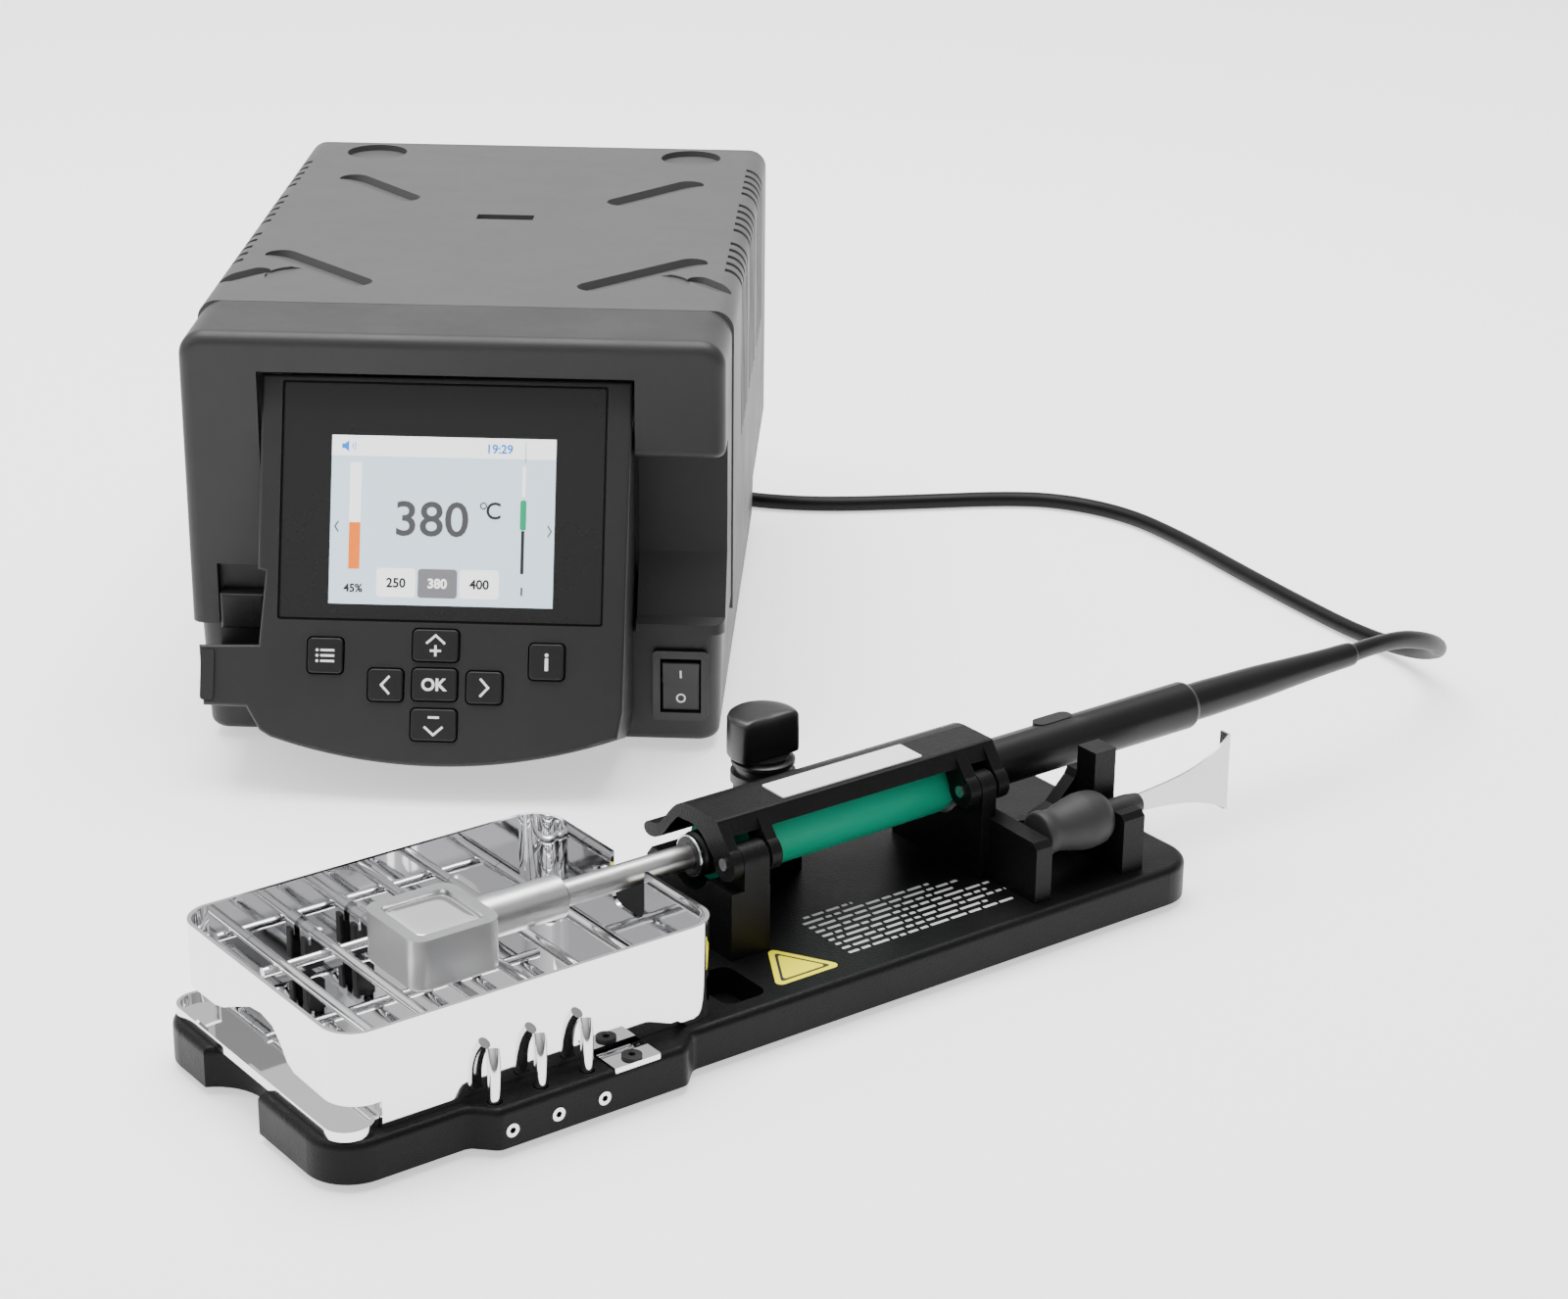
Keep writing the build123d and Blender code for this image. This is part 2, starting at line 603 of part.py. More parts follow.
with BuildPart() as case_screws:
    with BuildSketch(front(REAR_Y + 1.8)):
        with Locations((-64, 44), (64, 44), (-64, 108), (64, 108)):
            Circle(3.0)
    extrude(amount=1.8)
    with BuildSketch(front(REAR_Y)):
        with Locations((-64, 44), (64, 44), (-64, 108), (64, 108)):
            Circle(1.2)
    extrude(amount=9)
    with BuildSketch(front(REAR_Y + 2)):
        with Locations((-64, 44), (64, 44), (-64, 108), (64, 108)):
            Rectangle(3.4, 0.7)
            Rectangle(0.7, 3.4)
    extrude(amount=1.2, mode=Mode.SUBTRACT)
case_screws.part.label = "case_screws"
export_step(case_screws.part, "parts/case_screws.step")

# ================================================================ stand: casting
PIN_R = 1.5
ROD_S = (40.4, 52.4, 64.6)
PAD_S0, PAD_S1 = 69.6, 82.0
KNOB_S, KNOB_T = 165.0, 70.0
SADDLE_R = 8.4
with BuildPart() as stand_base:
    with BuildSketch(deck(BASE_Z)):
        with Locations((BASE_L / 2, BASE_D / 2)):
            RectangleRounded(BASE_L, BASE_D, 11.0)
        outline(((31, 3), (39, -5), (89, -5), (97, 3), (97, 8), (31, 8)))
        with Locations((-6.0, 45.0)):
            Circle(14.0, mode=Mode.SUBTRACT)
    extrude(amount=BASE_T)
    corners = [e for e in stand_base.edges().filter_by(Axis.Z) if e.length > BASE_T - 0.1]
    bump = [e for e in corners if deck(0).to_local_coords(e.center()).Y < 1]
    fillet(bump, 3.0)
    fillet(stand_base.faces().sort_by(Axis.Z)[-1].edges(), 1.8)
    # finger pocket beside the guard
    with BuildSketch(deck(DECK)):
        with Locations((113.5, 14.0)):
            RectangleRounded(12.0, 17.0, 3.0)
    extrude(amount=-7.0, mode=Mode.SUBTRACT)
    # front pillar with the knuckle of the lid's hinge
    with BuildSketch(across(121.3)):
        outline(((22.8, DECK - 1), (22.8, 29.5), (56, 29.5), (58, 27), (58, DECK - 1)))
    extrude(amount=11.2)
    with BuildSketch(across(125.0)):
        with Locations((HINGE_T, HINGE_Z)):
            Circle(4.0)
        outline(((22.8, 28), (30.8, 28), (30.8, HINGE_Z), (22.8, HINGE_Z)))
    extrude(amount=7.3)
    # rear pillar with the second knuckle
    with BuildSketch(across(197.6)):
        outline(((22.8, DECK - 1), (22.8, 28.5), (58, 28.5), (58, DECK - 1)))
    extrude(amount=7.4)
    with BuildSketch(across(197.6)):
        with Locations((HINGE_T, HINGE_Z)):
            Circle(4.0)
        outline(((22.8, 28), (30.8, 28), (30.8, HINGE_Z), (22.8, HINGE_Z)))
    extrude(amount=4.4)
    # low wall behind the grip, and the cradle's walls
    with BuildSketch(across(132.5)):
        outline(((54, DECK - 1), (54, 24), (57.6, 24), (57.6, DECK - 1)))
    extrude(amount=33)
    with BuildSketch(across(200.0)):
        outline(((4.5, DECK - 1), (4.5, 26.5), (6, 28), (23, 28.5), (23, DECK - 1)))
    extrude(amount=5.0)
    with BuildSketch(across(228.6)):
        outline(((4.5, DECK - 1), (4.5, 26.6), (5.9, 28), (8.6, 28), (8.6, 22), (16.2, 22), (16.2, 41), (23, 41),
                 (23, DECK - 1)))
    extrude(amount=6.8)
    with BuildSketch(along(27.0)):
        outline(((204, DECK - 1), (204, 27), (210, 25), (216, 24), (222, 26), (228, 32), (229, 34), (235.4, 34),
                 (235.4, DECK - 1)))
    extrude(amount=4.0)
    # saddles for the handset
    with BuildSketch(across(120)):
        with Locations((AXIS_T, AXIS_Z)):
            Circle(SADDLE_R)
    extrude(amount=90, mode=Mode.SUBTRACT)
    # post of the clamp screw
    with BuildSketch(deck(DECK - 1)):
        with Locations((KNOB_S, KNOB_T)):
            Circle(7.6)
    extrude(amount=31.0 - DECK + 1)
    with BuildSketch(deck(14)):
        with Locations((KNOB_S, KNOB_T)):
            Circle(2.6)
    extrude(amount=20, mode=Mode.SUBTRACT)
    # hinge pin holes
    with BuildSketch(across(120)):
        with Locations((HINGE_T, HINGE_Z)):
            Circle(PIN_R)
    extrude(amount=90, mode=Mode.SUBTRACT)
    # holes for the finger rods and their set screws, seat of the steel pads
    for s in ROD_S:
        with BuildSketch(deck(DECK + 1)):
            with Locations((s, -0.8)):
                Circle(1.75)
        extrude(amount=-7.5, mode=Mode.SUBTRACT)
        with BuildSketch(along(-6)):
            with Locations((s + 1.8, 6.2)):
                Circle(1.75)
        extrude(amount=-4.2, mode=Mode.SUBTRACT)
    with BuildSketch(deck(DECK + 1)):
        with Locations(((PAD_S0 + PAD_S1) / 2, 0.2)):
            Rectangle(PAD_S1 - PAD_S0 + 0.4, 6.4 + 3.6)
    extrude(amount=-2.2, mode=Mode.SUBTRACT)
    with BuildSketch(deck(DECK)):
        with Locations((75.8, -2.0)):
            Circle(1.3)
    extrude(amount=-8, mode=Mode.SUBTRACT)
stand_base.part.label = "stand_base"
export_step(stand_base.part, "parts/stand_base.step")

with BuildPart() as stand_feet:
    with BuildSketch(deck(0)):
        with Locations((16, 14), (236, 14), (16, 67), (236, 67), (126, 40)):
            Circle(6.0)
    extrude(amount=BASE_Z)
stand_feet.part.label = "stand_feet"
export_step(stand_feet.part, "parts/stand_feet.step")

# ================================================================ stand: guard, tray and fittings
GUARD_S, GUARD_T = (GUARD_S0 + GUARD_S1) / 2, (GUARD_T0 + GUARD_T1) / 2
GUARD_L, GUARD_D = GUARD_S1 - GUARD_S0, GUARD_T1 - GUARD_T0
ARCH_S = 14.6                       # where the left wall's cut ends on the long walls
with BuildPart() as splash_guard:
    with BuildSketch(deck(DECK + 0.1)):
        with Locations((GUARD_S, GUARD_T)):
            RectangleRounded(GUARD_L, GUARD_D, 8.0)
            RectangleRounded(GUARD_L - 2 * SHEET, GUARD_D - 2 * SHEET, 7.0, mode=Mode.SUBTRACT)
    extrude(amount=GUARD_TOP - DECK - 0.1)
    # the left wall hangs above the tray, with an arch for the fingers, and the cut runs round both corners
    with BuildSketch(across(GUARD_S0 - 2)):
        outline(((-1, DECK - 1), (-1, 18.6), (24, 19.4), (27, 20.8), (29.5, 24), (33, 27), (38, 28), (43, 27.4),
                 (50, 24.4), (56, 21.6), (60, 20.6), (82, 20.2), (82, DECK - 1)))
    extrude(amount=ARCH_S - GUARD_S0 + 2, mode=Mode.SUBTRACT)
    # notch in the right wall for the heater's shaft
    with BuildSketch(across(GUARD_S1 - 6)):
        with Locations((AXIS_T, 30)):
            RectangleRounded(14, 14, 4)
        with Locations((AXIS_T, 36)):
            Rectangle(14, 8)
    extrude(amount=12, mode=Mode.SUBTRACT)
    # the near wall is cut away over the raised bump
    with BuildSketch(along(GUARD_T0 + 3)):
        outline(((33, DECK - 1), (36, DECK + 2.0), (92, DECK + 2.0), (96, DECK - 1)))
    extrude(amount=8, mode=Mode.SUBTRACT)
splash_guard.part.label = "splash_guard"
export_step(splash_guard.part, "parts/splash_guard.step")

HEAD_S0, HEAD_T0, HEAD_T1 = 2.5, 1.7, 79.4
INNER_T0, INNER_T1 = GUARD_T0 + SHEET + 0.3, GUARD_T1 - SHEET - 0.3
TRAY_END = GUARD_S1 - SHEET - 0.3


def tray_outline(inset):
    """The tray seen from above: a wide head at the left end and a narrower body between the guard's walls."""
    with Locations(((HEAD_S0 + ARCH_S - 0.4) / 2, (HEAD_T0 + HEAD_T1) / 2)):
        RectangleRounded(ARCH_S - 0.4 - HEAD_S0 - 2 * inset, HEAD_T1 - HEAD_T0 - 2 * inset, 5.5 - inset)
    with Locations(((HEAD_S0 + TRAY_END) / 2, (INNER_T0 + INNER_T1) / 2)):
        RectangleRounded(TRAY_END - HEAD_S0 - 2 * inset, INNER_T1 - INNER_T0 - 2 * inset, 9.0 - inset)


with BuildPart() as drip_tray:
    with BuildSketch(deck(DECK + 0.1)):
        tray_outline(0)
        with Locations((12.3, 47.5)):
            RectangleRounded(6.6, 12.6, 1.5, mode=Mode.SUBTRACT)
    extrude(amount=0.9)
    # raised edge all round
    with BuildSketch(deck(DECK + 0.9)) as edge:
        tray_outline(0)
    extrude(edge.sketch, amount=1.5)
    with BuildSketch(deck(DECK + 1.0)) as floor:
        tray_outline(0.9)
    extrude(floor.sketch, amount=2, mode=Mode.SUBTRACT)
drip_tray.part.label = "drip_tray"
export_step(drip_tray.part, "parts/drip_tray.step")

# Cross bars: rods from wall to wall of the guard on two rails, where drops are shaken off.
BAR_Z = 24.0
BAR_R = 1.3
BAR_S = (23.5, 37.2, 50.5, 64.0, 77.5, 91.0)
POST_T = 73.6
with BuildPart() as cross_bars:
    for s in BAR_S:
        with BuildSketch(along(GUARD_T0 + SHEET + 0.1)):
            with Locations((s, BAR_Z)):
                Circle(BAR_R)
        extrude(amount=-(GUARD_D - 2 * SHEET - 0.2))
    for t in (14.0, 66.0):
        with BuildSketch(across(20)):
            with Locations((t, BAR_Z - BAR_R - 1.25)):
                Circle(1.2)
        extrude(amount=74.5)
cross_bars.part.label = "cross_bars"
export_step(cross_bars.part, "parts/cross_bars.step")

with BuildPart() as rest_posts:
    with BuildSketch(deck(DECK + 3.0)):
        with Locations((BAR_S[1], POST_T), (BAR_S[2], POST_T)):
            RectangleRounded(5.0, 2.8, 0.6)
    extrude(amount=BAR_Z - BAR_R - 0.05 - DECK - 3.0)
rest_posts.part.label = "rest_posts"
export_step(rest_posts.part, "parts/rest_posts.step")

# Finger rods: bent steel rods that stand in the bump and lean on the guard.
ROD_R = 1.5
with BuildPart() as finger_rods:
    for s in ROD_S:
        with BuildLine() as lean:
            Spline(stand_point(s, -0.8, DECK - 5), stand_point(s, -0.8, DECK + 3.5),
                   stand_point(s + 0.4, -0.2, DECK + 8.0), stand_point(s + 1.2, 1.5, DECK + 11.6))
        with BuildSketch(deck(DECK - 5)):
            with Locations((s, -0.8)):
                Circle(ROD_R)
        sweep(path=lean.line)
finger_rods.part.label = "finger_rods"
export_step(finger_rods.part, "parts/finger_rods.step")

with BuildPart() as set_screws:
    for s in ROD_S:
        with BuildSketch(along(-5.2)):
            with Locations((s + 1.8, 6.2)):
                Circle(1.65)
                RegularPolygon(0.8, 6, mode=Mode.SUBTRACT)
        extrude(amount=-2.2)
set_screws.part.label = "set_screws"
export_step(set_screws.part, "parts/set_screws.step")

with BuildPart() as wear_pads:
    with BuildSketch(deck(DECK - 1.2)):
        with Locations(((PAD_S0 + PAD_S1) / 2, -1.6)):
            RectangleRounded(PAD_S1 - PAD_S0, 6.2, 0.4)
    extrude(amount=1.6)
    with BuildSketch(deck(DECK + 0.1)):
        with Locations(((PAD_S0 + PAD_S1) / 2, 2.35)):
            Rectangle(PAD_S1 - PAD_S0, 1.5)
    extrude(amount=0.3)
    with BuildSketch(deck(DECK - 1.3)):
        with Locations((75.8, -2.0)):
            Circle(1.35)
    extrude(amount=3, mode=Mode.SUBTRACT)
wear_pads.part.label = "wear_pads"
export_step(wear_pads.part, "parts/wear_pads.step")

with BuildPart() as pad_screws:
    with BuildSketch(deck(DECK + 0.4)):
        with Locations((75.8, -2.0)):
            Circle(2.4)
    extrude(amount=0.6)
    with BuildSketch(deck(DECK + 0.4)):
        with Locations((75.8, -2.0)):
            Circle(1.25)
    extrude(amount=-6)
    with BuildSketch(deck(DECK + 1.0)):
        with Locations((75.8, -2.0)):
            RegularPolygon(0.9, 6)
    extrude(amount=-1.2, mode=Mode.SUBTRACT)
pad_screws.part.label = "pad_screws"
export_step(pad_screws.part, "parts/pad_screws.step")

# ================================================================ stand: handset clamp
LID_TURN = ((29.3, LID_TOP - 0.8), (29.6, LID_TOP - 0.2), (30.2, LID_TOP), (40.5, LID_TOP), (42.6, 45.8), (44.6, 45.2),
            (46.4, 44.2), (48.2, 42.6), (50.0, 40.6), (51.6, 38.6), (53.2, 36.9), (55.2, 35.8), (57.6, 35.4),
            (59.2, 34.9), (60.0, 33.9), (60.0, 32.9), (59.2, 32.0), (57.8, 31.7), (55.6, 32.0), (53.2, 33.2),
            (51.0, 35.3), (49.0, 37.9))
LID_OUT = LID_TURN + ((46.8, 40.4), (44.6, 42.0), (42.0, 43.0), (31.4, 43.0), (31.0, 41.8), (28.0, 41.8))
CHEEK = LID_TURN + ((45.6, 41.4), (38.0, 41.4), (33.2, 38.0), (31.0, HINGE_Z), (HINGE_T - 4.2, HINGE_Z + 1))
RIB = ((29.4, LID_TOP - 1), (34.0, LID_TOP - 1), (34.0, 41.5), (31.2, HINGE_Z), (HINGE_T - 4.2, HINGE_Z + 1))
with BuildPart() as clamp_lid:
    with BuildSketch(across(LID_S0)):
        outline(LID_OUT)
    extrude(amount=LID_S1 - LID_S0)
    for s, thick, shape in ((LID_S0, 2.8, CHEEK), (LID_S1 - 3.3, 3.3, CHEEK), (133.0, 3.0, RIB), (193.7, 3.3, RIB)):
        with BuildSketch(across(s)):
            outline(shape)
            with Locations((HINGE_T, HINGE_Z)):
                Circle(4.3)
        extrude(amount=thick)
    # room for the grip and collar, and the pin's hole
    with BuildSketch(across(LID_S0 - 1)):
        with Locations((AXIS_T, AXIS_Z)):
            Circle(8.75)
    extrude(amount=LID_S1 - LID_S0 + 2, mode=Mode.SUBTRACT)
    with BuildSketch(across(LID_S0 - 1)):
        with Locations((HINGE_T, HINGE_Z)):
            Circle(PIN_R + 0.06)
    extrude(amount=LID_S1 - LID_S0 + 2, mode=Mode.SUBTRACT)
clamp_lid.part.label = "clamp_lid"
export_step(clamp_lid.part, "parts/clamp_lid.step")

with BuildPart() as lid_plate:
    with BuildSketch(deck(LID_TOP)):
        with Locations((163.5, 35.4)):
            RectangleRounded(42.5, 8.8, 0.5)
    extrude(amount=0.35)
lid_plate.part.label = "lid_plate"
export_step(lid_plate.part, "parts/lid_plate.step")

with BuildPart() as hinge_pins:
    for s0, s1 in ((LID_S0 - 0.4, 136.4), (193.3, LID_S1 + 0.3)):
        with BuildSketch(across(s0)):
            with Locations((HINGE_T, HINGE_Z)):
                Circle(PIN_R)
        extrude(amount=s1 - s0)
hinge_pins.part.label = "hinge_pins"
export_step(hinge_pins.part, "parts/hinge_pins.step")

with BuildPart() as knob_collar:
    with BuildSketch(deck(31.0)):
        with Locations((KNOB_S, KNOB_T)):
            Circle(8.3)
            Circle(2.6, mode=Mode.SUBTRACT)
    extrude(amount=2.6)
    with BuildSketch(deck(33.6)):
        with Locations((KNOB_S, KNOB_T)):
            Circle(7.2)
            Circle(2.6, mode=Mode.SUBTRACT)
    extrude(amount=1.8)
    fillet(knob_collar.edges().sort_by(Axis.Z)[-1:], 0.3)
knob_collar.part.label = "knob_collar"
export_step(knob_collar.part, "parts/knob_collar.step")

with BuildPart() as clamp_screw:
    with BuildSketch(deck(16)):
        with Locations((KNOB_S, KNOB_T)):
            Circle(2.5)
    extrude(amount=29)
clamp_screw.part.label = "clamp_screw"
export_step(clamp_screw.part, "parts/clamp_screw.step")

with BuildPart() as clamp_knob:
    with BuildSketch(deck(35.7)):
        with Locations((KNOB_S, KNOB_T)):
            Circle(8.2)
    extrude(amount=1.6)
    with BuildSketch(deck(37.3)):
        with Locations((KNOB_S, KNOB_T)):
            Circle(6.8)
    extrude(amount=0.8)
    # half-moon grip, its flat towards the stand's near side
    with BuildSketch(deck(38.1)):
        with Locations((KNOB_S, KNOB_T)):
            Circle(9.3)
        with Locations((KNOB_S, KNOB_T - 10.3)):
            Rectangle(24, 12, mode=Mode.SUBTRACT)
    extrude(amount=11.4)
    fillet(clamp_knob.faces().sort_by(Axis.Z)[-1].edges(), 1.0)
    with BuildSketch(deck(35.7)):
        with Locations((KNOB_S, KNOB_T)):
            Circle(2.5)
    extrude(amount=9.3, mode=Mode.SUBTRACT)
clamp_knob.part.label = "clamp_knob"
export_step(clamp_knob.part, "parts/clamp_knob.step")

# ================================================================ scraper
SCRAPER_AXIS = Axis(stand_point(0, SCRAPER_T, SCRAPER_Z), U)
with BuildPart() as scraper_handle:
    with BuildSketch(along(SCRAPER_T)):
        with BuildLine():
            base_line = Line((206.8, SCRAPER_Z), (228.0, SCRAPER_Z))
            shoulder = Line(base_line @ 1, (228.0, SCRAPER_Z + 4.8))
            bulge = Spline(shoulder @ 1, (225.6, SCRAPER_Z + 6.8), (222.0, SCRAPER_Z + 7.3),
                           (216.5, SCRAPER_Z + 6.5), (211.0, SCRAPER_Z + 5.4), (206.8, SCRAPER_Z + 5.9))
            Line(bulge @ 1, base_line @ 0)
        make_face()
    revolve(axis=SCRAPER_AXIS)
scraper_handle.part.label = "scraper_handle"
export_step(scraper_handle.part, "parts/scraper_handle.step")

with BuildPart() as scraper_ferrule:
    with BuildSketch(along(SCRAPER_T)):
        outline(((228.0, SCRAPER_Z), (240.0, SCRAPER_Z), (240.0, SCRAPER_Z + 2.6), (236.5, SCRAPER_Z + 3.1),
                 (228.0, SCRAPER_Z + 3.2)))
    revolve(axis=SCRAPER_AXIS)
scraper_ferrule.part.label = "scraper_ferrule"
export_step(scraper_ferrule.part, "parts/scraper_ferrule.step")

BLADE_END = 271.5
with BuildPart() as scraper_blade:
    with BuildSketch(along(SCRAPER_T + 0.3)):
        with BuildLine():
            top = Spline((240.0, SCRAPER_Z + 2.4), (251.0, SCRAPER_Z + 3.4), (262.0, SCRAPER_Z + 5.8),
                         (BLADE_END - 0.6, SCRAPER_Z + 11.0))
            tip = Line(top @ 1, (BLADE_END, SCRAPER_Z - 10.0))
            under = Spline(tip @ 1, (264.0, SCRAPER_Z - 6.4), (252.0, SCRAPER_Z - 3.6), (240.0, SCRAPER_Z - 2.4))
            Line(under @ 1, top @ 0)
        make_face()
    extrude(amount=0.6)
    # end strip bent back as the scraping edge
    with BuildSketch(across(BLADE_END - 0.6)):
        with Locations((SCRAPER_T + 1.6, SCRAPER_Z + 0.5)):
            Rectangle(3.2, 21)
    extrude(amount=0.6)
scraper_blade.part.label = "scraper_blade"
export_step(scraper_blade.part, "parts/scraper_blade.step")

# ================================================================ handset
HANDSET_AXIS = Axis(stand_point(0, AXIS_T, AXIS_Z), U)


def turned(profile):
    """A solid of revolution about the handset's axis from (s, radius) points."""
    with BuildSketch(along(AXIS_T)) as half:
        Polygon(*[(s, AXIS_Z + r) for s, r in profile], align=None)
    revolve(half.sketch, axis=HANDSET_AXIS)


with BuildPart() as handle_body:
    turned(((128.0, 3.4), (128.0, 5.2), (BODY_S - 1, 5.2), (BODY_S - 1, 6.2), (BODY_END - 1.2, 6.4), (BODY_END, 5.9),
            (BODY_END, 0), (168.0, 0), (168.0, 3.4)))
    with BuildSketch(deck(AXIS_Z)):
        with Locations((237.0, AXIS_T + 2.0)):
            SlotOverall(12, 4.4)
    extrude(amount=6.5)
handle_body.part.label = "handle_body"
export_step(handle_body.part, "parts/handle_body.step")

with BuildPart() as handle_grip:
    turned(((GRIP_S, 5.3), (GRIP_S, 7.4), (GRIP_S + 1.4, 8.2), (BODY_S - 4.0, 7.7), (BODY_S - 1.6, 7.0),
            (BODY_S - 1.1, 6.0), (BODY_S - 1.1, 5.3)))
handle_grip.part.label = "handle_grip"
export_step(handle_grip.part, "parts/handle_grip.step")

with BuildPart() as handle_collar:
    turned(((COLLAR_S, 3.4), (COLLAR_S, 4.8), (COLLAR_S + 0.8, 5.6), (GRIP_S, 5.6), (GRIP_S, 3.4)))
handle_collar.part.label = "handle_collar"
export_step(handle_collar.part, "parts/handle_collar.step")

with BuildPart() as strain_relief:
    turned(((BODY_END, 0), (BODY_END, 5.3), (BODY_END + 12, 5.2), (BODY_END + 36, 4.0), (RELIEF_END - 8, 3.3),
            (RELIEF_END, 3.2), (RELIEF_END, 0)))
strain_relief.part.label = "strain_relief"
export_step(strain_relief.part, "parts/strain_relief.step")

with BuildPart() as cartridge_shaft:
    turned(((POT_S1 - 1, 0), (POT_S1 - 1, 5.2), (POT_S1 + 22, 5.2), (POT_S1 + 23.5, 3.15), (165.0, 3.15), (165.0, 0)))
cartridge_shaft.part.label = "cartridge_shaft"
export_step(cartridge_shaft.part, "parts/cartridge_shaft.step")

POT_Z = AXIS_Z - 7.4
with BuildPart() as solder_pot:
    with BuildSketch(deck(POT_Z)):
        with Locations(((POT_S0 + POT_S1) / 2, AXIS_T)):
            RectangleRounded(POT_S1 - POT_S0, POT_W, 3.8)
    extrude(amount=POT_H)
    fillet(solder_pot.edges().group_by(Axis.Z)[0], 1.2)
    with BuildSketch(deck(POT_Z + POT_H)):
        with Locations(((POT_S0 + POT_S1) / 2, AXIS_T)):
            RectangleRounded(POT_S1 - POT_S0 - 6.0, POT_W - 6.0, 1.6)
    extrude(amount=-9.5, mode=Mode.SUBTRACT)
    with BuildSketch(across(POT_S1 - 1)):
        with Locations((AXIS_T, AXIS_Z)):
            Circle(5.2)
    extrude(amount=3, mode=Mode.SUBTRACT)
solder_pot.part.label = "solder_pot"
export_step(solder_pot.part, "parts/solder_pot.step")

with BuildPart() as solder_pool:
    with BuildSketch(deck(POT_Z + POT_H - 9.5)):
        with Locations(((POT_S0 + POT_S1) / 2, AXIS_T)):
            RectangleRounded(POT_S1 - POT_S0 - 6.0, POT_W - 6.0, 1.6)
    extrude(amount=8.9)
solder_pool.part.label = "solder_pool"
export_step(solder_pool.part, "parts/solder_pool.step")

# ================================================================ tool cord
PLUG_BACK = REAR_Y + 2.0 + 30.0
COIL_MID = unit_point(COIL_X, COIL_Y, COIL_H / 2)


def cord_tube(points, name):
    """Sweep the cord's section along straight runs joined by tangent arcs and report its bends."""
    path_points = [Vector(*p) for p in points]
    runs = [(b - a).length for a, b in zip(path_points, path_points[1:])]
    radii = []
    for k in range(1, len(path_points) - 1):
        turn = radians((path_points[k] - path_points[k - 1]).get_angle(path_points[k + 1] - path_points[k]))
        radii.append(0.45 * min(runs[k - 1], runs[k]) / tan(turn / 2))
    with BuildLine() as route:
        FilletPolyline(*path_points, radius=radii)
    line = route.wires()[0]
    with BuildSketch(Plane(origin=line @ 0, z_dir=line % 0)) as section:
        Circle(CORD_R)
    sweep(section.sketch, path=line)
    print(name, "length", round(line.length, 1), "radii", [round(r) for r in radii], "least", round(min(radii), 1))
    print(name, "section x length", round(pi * CORD_R ** 2 * line.length))


RELIEF_TIP = stand_point(RELIEF_END, AXIS_T, AXIS_Z)
FRONT_ROUTE = [RELIEF_TIP] + [unit_point(*p) for p in (
    (258, 23, 32.0), (272, 40, 25.0), (279, 60, 14.0), (274, 80, 5.5), (261, 100, 2.6), (246, 123, 2.6),
    (228, 153, 2.6), (212, 181, 2.6), (196, 203, 2.6), (176, 215, 2.6), (157, 217, 2.6), (125, 211, 2.6),
    (94, 206, 2.6), (68, 209, 2.6), (44, 221, 2.6), (26, 231, 2.6), (COIL_X + 6, COIL_Y - COIL_R, 2.6))]
with BuildPart() as cord_front:
    cord_tube(FRONT_ROUTE, "cord_front")
cord_front.part.label = "cord_front"
export_step(cord_front.part, "parts/cord_front.step")
print("cord_front volume", round(cord_front.part.volume))

with BuildPart() as cord_coil:
    with BuildSketch(Plane(origin=COIL_MID, x_dir=(1, 0, 0), z_dir=(0, -1, 0))):
        with Locations((COIL_R, 0)):
            RectangleRounded(COIL_W, COIL_H, 2.4)
    revolve(axis=Axis(COIL_MID, (0, 0, 1)))
cord_coil.part.label = "cord_coil"
export_step(cord_coil.part, "parts/cord_coil.step")

# from the coil's left side back round to the plug, rising off the table only near it
REAR_ROUTE = [unit_point(*p) for p in (
    (COIL_X - COIL_R, COIL_Y + 17, 2.6), (-25, 296, 2.6), (-15, 314, 2.6), (4, 325, 2.6), (22, 322, 6.5),
    (32, 310, 20.0), (34.4, 297, 38.0), (34.1, 279, 54.0), (SOCKET_X, 257, 62.5), (SOCKET_X, PLUG_BACK, SOCKET_Z))]
with BuildPart() as cord_rear:
    cord_tube(REAR_ROUTE, "cord_rear")
cord_rear.part.label = "cord_rear"
export_step(cord_rear.part, "parts/cord_rear.step")
print("cord_rear volume", round(cord_rear.part.volume))

with BuildPart() as cord_connector:
    with BuildSketch(side(SOCKET_X)) as half:
        outline(((REAR_Y - 8.0, SOCKET_Z), (REAR_Y - 8.0, SOCKET_Z + PLUG_R), (REAR_Y + 2.2, SOCKET_Z + PLUG_R),
                 (REAR_Y + 2.2, SOCKET_Z + 8.0), (REAR_Y + 20, SOCKET_Z + 8.0), (REAR_Y + 22, SOCKET_Z + 6.6),
                 (REAR_Y + 22, SOCKET_Z + 4.6), (PLUG_BACK, SOCKET_Z + 3.2), (PLUG_BACK, SOCKET_Z)))
    revolve(axis=Axis(unit_point(SOCKET_X, 0, SOCKET_Z), (0, 1, 0)))
cord_connector.part.label = "cord_connector"
export_step(cord_connector.part, "parts/cord_connector.step")
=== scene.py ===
"""Soldering iron station: control unit, stand with the handset and its solder pot, and the cord between them.

The CAD nodes keep their shape and get their finishes here. What the CAD only blocks in, such as the display's
picture, the key marks, the grip, the knob, the scraper and the cord, is built here as surfaces worked out with numpy.
"""

import logging
from collections.abc import Callable, Sequence
from dataclasses import dataclass, field
from enum import Enum

